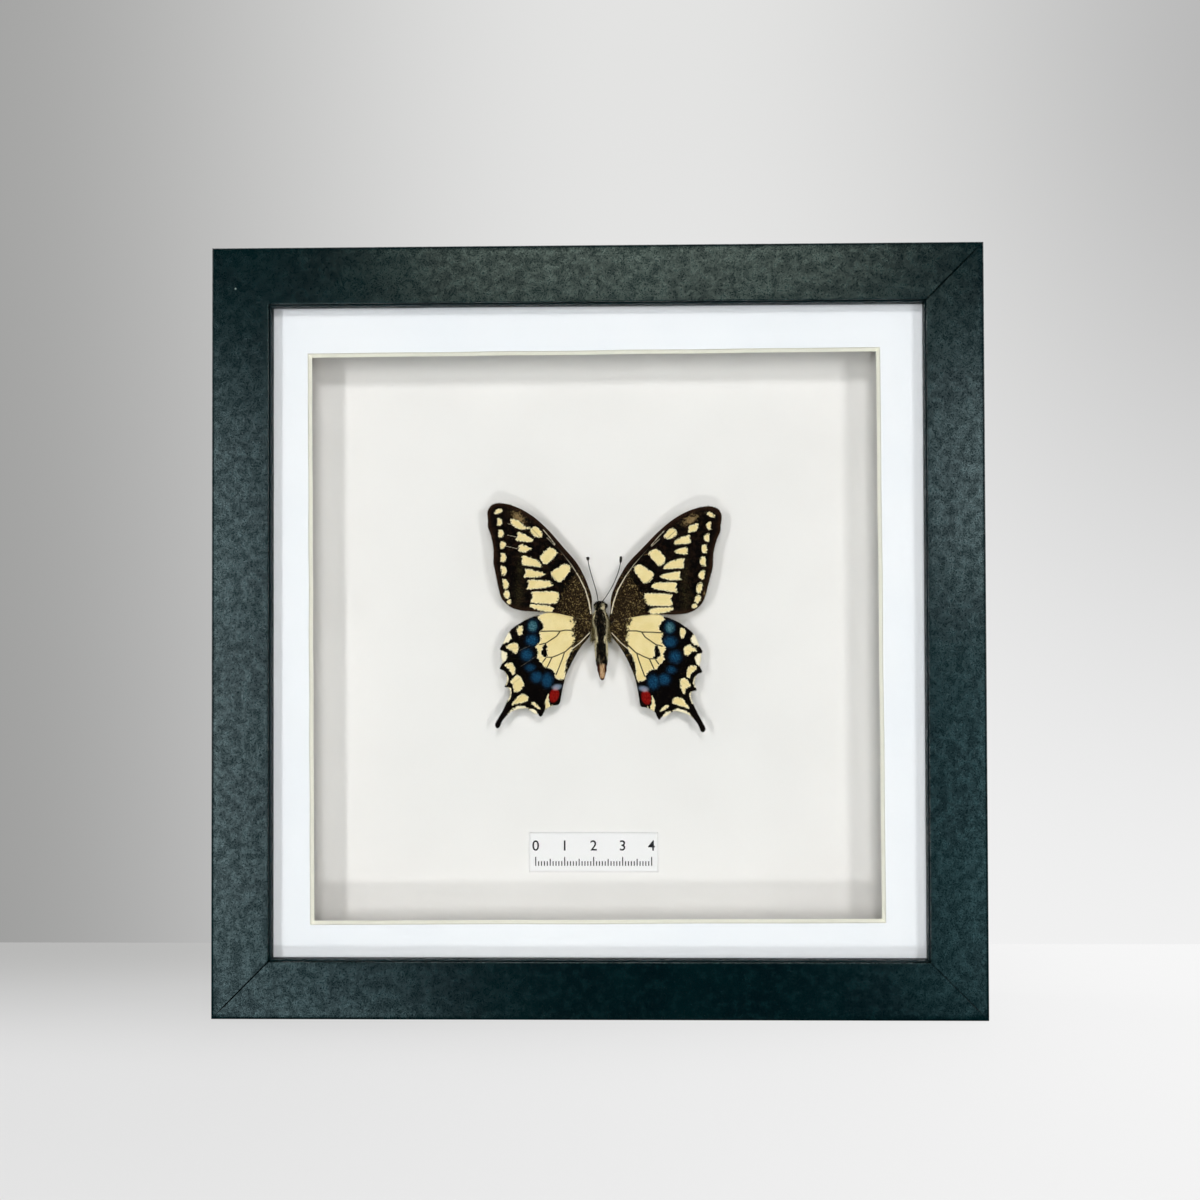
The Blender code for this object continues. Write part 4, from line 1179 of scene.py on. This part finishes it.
def body_finish():
    """Skin and hair share one finish: black unless a tone says otherwise."""
    made, tree, shader = new_finish("body_hair", Roughness=0.75, Specular_IOR_Level=0.1)
    point = object_point(tree)
    patchy = noise(tree, object_point(tree, (1.0, 1.0, 0.5)), 1700, 3.0, 0.8)
    fine = noise(tree, point, 4000, 2.0)
    loose = about_zero(tree, patchy, 3.4)
    tone = mix(tree, level(tree, patchy, 0.52, 0.66), shade(5, 3, 2), shade(54, 46, 34))
    straw = mix(tree, level(tree, patchy, 0.42, 0.6), shade(62, 52, 28), shade(150, 134, 88))
    amber = plus(tree, attribute(tree, "yellow"), loose)
    tone = mix(tree, level(tree, amber, 0.25, 0.8, 0.0, 0.9), tone, straw)
    cream = mix(tree, level(tree, patchy, 0.36, 0.56), shade(160, 144, 106), shade(240, 229, 190))
    pale = plus(tree, attribute(tree, "cream"), times(tree, loose, 0.45))
    tone = mix(tree, level(tree, pale, 0.3, 0.65), tone, cream)
    skin = mix(tree, level(tree, patchy, 0.42, 0.6), shade(146, 110, 74), shade(204, 172, 134))
    ragged = plus(tree, attribute(tree, "tan"), loose)
    tone = mix(tree, level(tree, ragged, 0.35, 0.65), tone, skin)
    torn = plus(tree, attribute(tree, "rust"), loose)
    tone = mix(tree, level(tree, torn, 0.4, 0.6), tone, shade(52, 17, 12))
    coarse = relief(tree, patchy, 0.12 * MM)
    lead(tree, shader, Base_Color=tone, Normal=relief(tree, fine, 0.03 * MM, coarse))
    return made


def pole_faces(rows, columns):
    """The faces, looking outwards, of a grid of rings that closes to one more point before the
    first ring and another after the last."""
    ring = np.arange(columns)
    after = np.roll(ring, -1)
    last = (rows - 1) * columns
    pole = np.full(columns, rows * columns)
    faces = grid_faces(rows, columns, ring=True)[:, ::-1].tolist()
    faces += np.stack([after, ring, pole], axis=1).tolist()
    faces += np.stack([pole + 1, last + ring, last + after], axis=1).tolist()
    return faces


def body_form():
    """The surface on a grid of steps along the axis and round it, closed to a point at each end."""
    even = np.linspace(0, 1, BODY_ROWS)
    v = TAIL_END + (CROWN - TAIL_END) * (0.75 * even + 0.25 * (1 - np.cos(math.pi * even)) / 2)
    angle = np.linspace(0, 2 * math.pi, BODY_COLUMNS, endpoint=False)
    along, around = np.meshgrid(v[1:-1], angle, indexing="ij")
    ends = np.array([TAIL_END, CROWN])
    points = body_surface(along, around).reshape(-1, 3)
    points = np.concatenate([points, on_specimen(-BODY_LEAN * ends, ends, BODY_DEPTH)])
    u = np.append((body_radius(along) * np.sin(around)).ravel(), [0, 0])
    tones = body_tones(u, np.append(along.ravel(), ends))
    faces = pole_faces(*along.shape)
    made = piece("body_form", points, faces, [coat], tones)
    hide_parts("butterfly_body")


def body_coat(name, count, low, high, length, width, seed, spread=1.5, lay=0.9):
    """Hairs rooted at random over a stretch of the body's front. They lean out from its surface
    and back towards the tail."""
    rng = np.random.default_rng(seed)
    v = rng.uniform(low, high, count)
    angle = rng.uniform(-spread, spread, count)
    roots = body_surface(v, angle)
    middle = on_specimen(-BODY_LEAN * v, v, BODY_DEPTH)
    out = roots - middle
    out = out / np.linalg.norm(out, axis=1, keepdims=True)
    aims = out * rng.uniform(0.25, 0.7, count)[:, None]
    aims = aims + np.array([0, 0, -lay]) + rng.normal(0, 0.22, (count, 3))
    lengths = rng.uniform(0.55, 1.0, count) * length * MM
    bends = (rng.normal(0, 0.12, (count, 3)) + out * -0.12) * lengths[:, None]
    widths = rng.uniform(0.7, 1.1, count) * width * MM
    points, faces, each = wisps(roots, aims, lengths, widths, bends, rng)
    u = body_radius(v) * np.sin(angle) + rng.normal(0, 0.12, count)
    tones = body_tones(u, v + rng.normal(0, 0.15, count))
    values = {key: np.repeat(numbers, each) for key, numbers in tones.items()}
    piece(name, points, faces, [coat], values)


def wing_root_tufts():
    """Long yellow hairs that fan from the thorax over the roots of the hindwings, on each side of
    the abdomen."""
    rng = np.random.default_rng(57)
    count = TUFT_HAIRS
    side = rng.choice([-1.0, 1.0], count)
    u = side * rng.uniform(1.5, 2.9, count)
    v = rng.uniform(-2.2, 1.6, count)
    roots = on_specimen(u, v, BODY_DEPTH + rng.uniform(-0.9, 0.6, count))
    aims = np.stack([side * rng.uniform(0.1, 0.75, count), rng.normal(0, 0.12, count),
                     -rng.uniform(0.7, 1.2, count)], axis=1)
    lengths = rng.uniform(1.2, 3.0, count) * MM
    bends = rng.normal(0, 0.1, (count, 3)) * lengths[:, None]
    points, faces, each = wisps(roots, aims, lengths, np.full(count, TUFT_RADIUS), bends, rng)
    flags = {"yellow": 0.5 + 0.5 * rng.random(count), "cream": 0.5 * rng.random(count) ** 2,
             "tan": np.zeros(count), "rust": np.zeros(count)}
    values = {key: np.repeat(numbers, each) for key, numbers in flags.items()}
    piece("wing_root_tufts", points, faces, [coat], values)


def ball(centre, half, rows=14, columns=24):
    """An egg about a point of the specimen: (sin a cos b, cos a, sin a sin b) times its half
    widths, with a point at each pole."""
    tilt = np.linspace(0, math.pi, rows + 2)[1:-1]
    spin = np.linspace(0, 2 * math.pi, columns, endpoint=False)
    a, b = np.meshgrid(tilt, spin, indexing="ij")
    unit = np.stack([np.sin(a) * np.cos(b), np.cos(a), np.sin(a) * np.sin(b)], axis=-1)
    unit = np.concatenate([unit.reshape(-1, 3), [(0, 1, 0), (0, -1, 0)]])
    points = on_specimen(*np.array(centre)[:, None]) + unit * np.array(half) * MM
    return points, pole_faces(rows, columns)


def eyes():
    """Two dark domes at the sides of the head, faceted too finely to see singly."""
    facets = cell_finish("compound_eye", 14000.0, shade(14, 9, 7), shade(38, 26, 18), 0.01 * MM,
                         Roughness=0.25, Specular_IOR_Level=0.5)
    for name, u in (("left", -1.6), ("right", 1.8)):
        points, faces = ball((u, 9.2, BODY_DEPTH - 0.5), (0.7, 0.75, 0.85))
        piece(f"eye_{name}", points, faces, [facets])


coat = body_finish()
body_form()
body_coat("thorax_coat", 4000, -0.2, 7.4, 1.1, 0.055, 71)
body_coat("head_coat", 1300, 7.2, 10.6, 0.7, 0.045, 72, lay=-0.3)
body_coat("abdomen_coat", 3000, -11.4, -0.8, 0.7, 0.045, 73)
wing_root_tufts()
eyes()

# ---------------------------------------------------------------------------------------------
# The antennae: two ringed threads of dark horn from the crown, each ending in a club. The left
# club is short and round, and the right one long.

ANTENNAE = {
    "antenna_left": ([(-0.9, 10.6), (-1.4, 16.0), (-4.2, 21.0), (-4.5, 26.4)], 0.56, 1.5),
    "antenna_right": ([(0.5, 10.6), (4.6, 15.8), (7.2, 22.0), (7.1, 26.6)], 0.46, 2.8),
}
THREAD_RADIUS = 0.14
POINT_RADIUS = 1e-4
HORN_RING, NOTCH_DEPTH, NOTCH_WIDTH = 0.45, 0.018, 0.06
ROUND_TIP = 0.12
ANTENNA_ROWS = 260
ANTENNA_COLUMNS = 12


def horn_finish():
    """Dark horn with a slight shine, paler in the joints between its rings."""
    made, tree, shader = new_finish("antenna_horn", Roughness=0.5, Specular_IOR_Level=0.3)
    rings = level(tree, attribute(tree, "joint"), 0.4, 1.0)
    tone = mix(tree, rings, shade(24, 19, 15), shade(70, 60, 48))
    grit = noise(tree, object_point(tree), 9000, 2.0)
    lead(tree, shader, Base_Color=tone, Normal=relief(tree, grit, 0.01 * MM))
    return made


def antenna(name, handles, club, club_length):
    """A tube along a cubic with two handles. Its radius is the thread's, plus a club that swells
    as the square root of a parabola over the last stretch, less a notch at every ring."""
    t = np.linspace(0, 1, ANTENNA_ROWS)[:, None]
    first, second, third, fourth = np.array(handles)
    path = (1 - t) ** 3 * first + 3 * (1 - t) ** 2 * t * second + 3 * (1 - t) * t**2 * third
    path = path + t**3 * fourth
    tangent = np.gradient(path, axis=0)
    step = np.hypot(*tangent.T)
    travel = np.cumsum(step) - step[0]
    tangent = tangent / step[:, None]
    to_tip = travel[-1] - travel
    inside = np.clip(1 - to_tip / club_length, 0, 1)
    swell = np.sqrt(np.clip(4 * inside**1.5 * (1 - inside**3), 0, 1))
    joint = np.exp(-((np.mod(travel, HORN_RING) - HORN_RING / 2) / NOTCH_WIDTH) ** 2)
    radius = THREAD_RADIUS * (1 + 0.5 * np.exp(-travel / 0.8)) - NOTCH_DEPTH * joint
    radius = np.maximum(radius * np.sqrt(np.clip(to_tip / ROUND_TIP, 0, 1)), club * swell)
    radius[[0, -1]] = POINT_RADIUS
    angle = np.linspace(0, 2 * math.pi, ANTENNA_COLUMNS, endpoint=False)
    side = np.stack([tangent[:, 1], -tangent[:, 0]], axis=1)
    u = path[:, :1] + side[:, :1] * radius[:, None] * np.cos(angle)
    v = path[:, 1:] + side[:, 1:] * radius[:, None] * np.cos(angle)
    rise = np.linspace(-0.6, -1.0, ANTENNA_ROWS)[:, None]
    y = BODY_DEPTH - 0.6 + rise * 0.3 + radius[:, None] * np.sin(angle)
    points = on_specimen(u, v, y).reshape(-1, 3)
    faces = [face[::-1] for face in tube_faces(ANTENNA_ROWS, ANTENNA_COLUMNS)]
    values = {"joint": np.repeat(joint, ANTENNA_COLUMNS)}
    made = piece(f"{name}_thread", points, faces, [horn], values)
    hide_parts(name)


horn = horn_finish()
for name, (handles, club, club_length) in ANTENNAE.items():
    antenna(name, handles, club, club_length)

# ---------------------------------------------------------------------------------------------
# The back: a sheet of brown hardboard held by eight bent steel tabs, with a saw-toothed steel
# hanger on two rivets. They keep their CAD shapes.


def hardboard_finish():
    """Pressed wood fibre: brown, felted, with paler and darker strands."""
    made, tree, shader = new_finish("brown_hardboard", Roughness=0.8, Specular_IOR_Level=0.25)
    point = object_point(tree)
    strands = noise(tree, object_point(tree, (1.0, 1.0, 0.35)), 1400, 5.0, 0.7)
    cloud = noise(tree, point, 40, 3.0)
    tone = mix(tree, level(tree, cloud, 0.3, 0.7), shade(112, 78, 50), shade(132, 94, 62))
    tone = mix(tree, level(tree, strands, 0.45, 0.7, 0.0, 0.6), tone, shade(162, 124, 86))
    tone = mix(tree, level(tree, strands, 0.2, 0.42, 0.55, 0.0), tone, shade(72, 46, 28))
    lead(tree, shader, Base_Color=tone, Normal=relief(tree, strands, 0.06 * MM))
    return made


def steel_finish():
    """Cold-rolled steel with a zinc flash: fine rolling lines and dull patches."""
    made, tree, shader = new_finish("zinced_steel", Metallic=1.0)
    lines = noise(tree, object_point(tree, (0.08, 1.0, 1.0)), 5000, 3.0, 0.6)
    cloud = noise(tree, object_point(tree), 300, 3.0)
    tone = mix(tree, level(tree, cloud, 0.35, 0.7), shade(176, 178, 180), shade(206, 206, 202))
    lead(tree, shader, Base_Color=tone, Roughness=level(tree, lines, 0.2, 0.8, 0.28, 0.5),
         Normal=relief(tree, lines, 0.008 * MM))
    return made


dress(["back_panel"], hardboard_finish())
steel = steel_finish()
tabs = [f"tab_{side}_{end}" for side in ("bottom", "right", "top", "left") for end in "ab"]
dress(tabs + ["hanger", "hanger_pin_left", "hanger_pin_right"], steel)

# ---------------------------------------------------------------------------------------------
# The studio: a pale table before a pale wall. Four soft lamps close round the camera's line throw
# the shallow shadows inside the frame, three more light its sides and back, and cards that only
# gloss sees give the satin wood and the steel their sheen.

CAMERA_PLACE = (0.01466, -0.575, 0.12422)
CAMERA_YAW = 0.024725
CAMERA_PITCH = 0.019468
CAMERA_ROLL = 0.002997
CAMERA_LENS = 51.21
TABLE_EDGE = 0.122
TABLE_ROUND = 0.01
TABLE_THICKNESS = 0.04
TABLE_GAP = 0.0002
TABLE_FRONT, TABLE_HALF = -3.0, 2.5
WALL_PLACE, WALL_HALF = 0.9, 4.0
SURROUND_STRENGTH = 0.035
MIDDLE = np.array([0.0, 0.0, FRAME_SIDE / 2])


def stage_surface(name, across, path, finish):
    """A path of (y, z) points carried across in X, with its front to the left of the path."""
    x = np.linspace(-across, across, 9)
    row, column = np.meshgrid(np.arange(len(path)), np.arange(len(x)), indexing="ij")
    points = np.stack([x[column], path[row, 0], path[row, 1]], axis=-1).reshape(-1, 3)
    faces = grid_faces(len(path), len(x))[:, ::-1].tolist()
    made = mesh_object(name, points, faces, [finish])
    made.visible_diffuse = False
    made.visible_glossy = False
    made.visible_transmission = False
    made.visible_shadow = False


def stage_finish(name, base, roughness):
    """A stage's matt paint that shows its own even light, and its point's x, y and z."""
    made, tree, shader = new_finish(name, Roughness=roughness, Specular_IOR_Level=0.0,
                                    Emission_Strength=1.0, Base_Color=base)
    place = add_node(tree, "TexCoord", {})["Object"]
    return made, tree, shader, add_node(tree, "SeparateXYZ", {"Vector": place})


def table_finish():
    """A matt white table that glows with painted light, with painted shade making it greyer towards
    its left and greyest at its far left.
    """
    made, tree, shader, (x, y, _) = stage_finish("white_table", shade(60, 60, 60), 0.3)
    # Painted shade: grey towards the left, and greyest at the far left.
    side = level(tree, x, -0.32, 0.25)
    far_left_painted_shade = times(tree, level(tree, y, -0.1, 0.1), level(tree, x, -0.25, 0.2, 1.0, 0.0))
    tone = mix(tree, side, shade(214, 214, 214), shade(238, 238, 238))
    tone = mix(tree, far_left_painted_shade, tone, shade(172, 172, 171))
    lead(tree, shader, Emission_Color=tone)
    return made


def wall_finish():
    """A wall that glows with painted light as if lit from the right and below: painted shade makes
    it grey at the left and, less, at the top right.
    """
    made, tree, shader, (x, _, z) = stage_finish("pale_wall", shade(0, 0, 0), 1.0)
    low = mix(tree, level(tree, x, -0.6, 0.1), shade(158, 158, 157), shade(241, 241, 241))
    high = mix(tree, level(tree, x, -0.6, 0.0), shade(164, 164, 163), shade(227, 227, 226))
    high = mix(tree, level(tree, x, 0.05, 0.6), high, shade(182, 182, 182))
    lead(tree, shader, Emission_Color=mix(tree, level(tree, z, -0.2, 0.65), low, high))
    return made


def soft_light(name, place, size, watts, glossy=False, colour=(1, 1, 1)):
    """A rectangular light at a place, facing the frame's middle. It is either a lamp, which no
    gloss sees, or a card, which only gloss sees."""
    lamp = bpy.data.lights.new(name, "AREA")
    lamp.shape = "RECTANGLE"
    lamp.size, lamp.size_y = size
    lamp.energy = watts
    lamp.color = colour
    made = bpy.data.objects.new(name, lamp)
    bpy.context.scene.collection.objects.link(made)
    back = np.array(place, dtype=float) - MIDDLE
    back = back / np.linalg.norm(back)
    right = np.cross([0.0, 0.0, 1.0], back)
    right = right / np.linalg.norm(right)
    turn = np.eye(4)
    turn[:3, 0], turn[:3, 1], turn[:3, 2] = right, np.cross(back, right), back
    turn[:3, 3] = place
    made.matrix_world = Matrix(turn)
    made.visible_camera = False
    made.visible_diffuse = not glossy
    made.visible_glossy = glossy
    made.visible_transmission = False


def studio_camera():
    """The camera stands at the frame's height, a little right of its middle, turned back to it."""
    lens = bpy.data.cameras.new("camera")
    lens.lens = CAMERA_LENS
    made = bpy.data.objects.new("camera", lens)
    bpy.context.scene.collection.objects.link(made)
    turn = Matrix.Rotation(CAMERA_YAW, 4, "Z") @ Matrix.Rotation(CAMERA_PITCH, 4, "X")
    turn = turn @ Matrix.Rotation(CAMERA_ROLL, 4, "Y") @ Matrix.Rotation(math.pi / 2, 4, "X")
    made.matrix_world = Matrix.Translation(CAMERA_PLACE) @ turn
    bpy.context.scene.camera = made


def surroundings():
    """A dim even grey that fills the shadows. Gloss doesn't see it, so the glass stays clear."""
    world = bpy.data.worlds.new("surroundings")
    world.use_nodes = True
    background = world.node_tree.nodes["Background"]
    background.inputs["Color"].default_value = (1.0, 0.97, 0.9, 1)
    background.inputs["Strength"].default_value = SURROUND_STRENGTH
    world.cycles_visibility.glossy = False
    bpy.context.scene.world = world


edge_round = arc((TABLE_EDGE - TABLE_ROUND, -TABLE_ROUND), TABLE_ROUND, 90, 0, 6)
table_path = np.concatenate([
    [(TABLE_FRONT, 0.0), (-1.0, 0.0), (-0.2, 0.0)],
    edge_round,
    [(TABLE_EDGE, -TABLE_THICKNESS), (TABLE_FRONT, -TABLE_THICKNESS)],
])
stage_surface("studio_table", TABLE_HALF, table_path - (0, TABLE_GAP), table_finish())
wall_path = np.array([(WALL_PLACE, -2.0), (WALL_PLACE, 3.0)])
stage_surface("studio_wall", WALL_HALF, wall_path, wall_finish())
surroundings()
studio_camera()
bpy.context.scene.view_settings.view_transform = "Standard"
KEY_Y, CARD_Y = -1.2, -1.025
for name, x, z, size, watts in (
    ("left", -0.35, 0.15, (0.08, 0.28), 4.5),
    ("right", 0.40, 0.15, (0.13, 0.28), 3.9),
    ("top", 0.045, 0.44, (0.17, 0.11), 4.5),
    ("bottom", 0.045, -0.33, (0.17, 0.10), 2.8),
):
    soft_light(f"key_{name}", (x, KEY_Y, z), size, watts)
for name, x, z, size, watts, colour in (
    ("left", -0.42, 0.08, (0.18, 0.54), 1.6, (0.7, 0.94, 0.98)),
    ("top", 0.02, 0.50, (0.42, 0.14), 0.94, (0.82, 1.0, 0.84)),
    ("right", 0.36, 0.26, (0.16, 0.2), 0.64, (0.7, 0.94, 0.97)),
    ("low_right", 0.37, -0.06, (0.16, 0.34), 0.46, (0.5, 0.92, 1.0)),
    ("low_left", -0.30, -0.26, (0.2, 0.12), 0.35, (0.64, 0.94, 1.0)),
):
    soft_light(f"card_{name}", (x, CARD_Y, z), size, watts, True, colour)
for name, place, size, watts, glossy in (
    ("side_left", (-1.6, 0.1, 0.5), (1.2, 1.2), 10, True),
    ("side_right", (1.6, 0.1, 0.5), (1.2, 1.2), 10, True),
    ("overhead", (0.0, 0.2, 1.8), (1.4, 1.4), 12, True),
    ("behind_lamp", (0.3, 1.2, 1.5), (1.4, 1.0), 30, False),
    ("behind_card", (0.1, 1.3, 0.7), (1.6, 1.0), 12, True),
    ("side_lamp_left", (-1.3, 0.35, 0.7), (0.9, 0.9), 22, False),
    ("side_lamp_right", (1.3, 0.35, 0.7), (0.9, 0.9), 22, False),
):
    soft_light(name, place, size, watts, glossy)
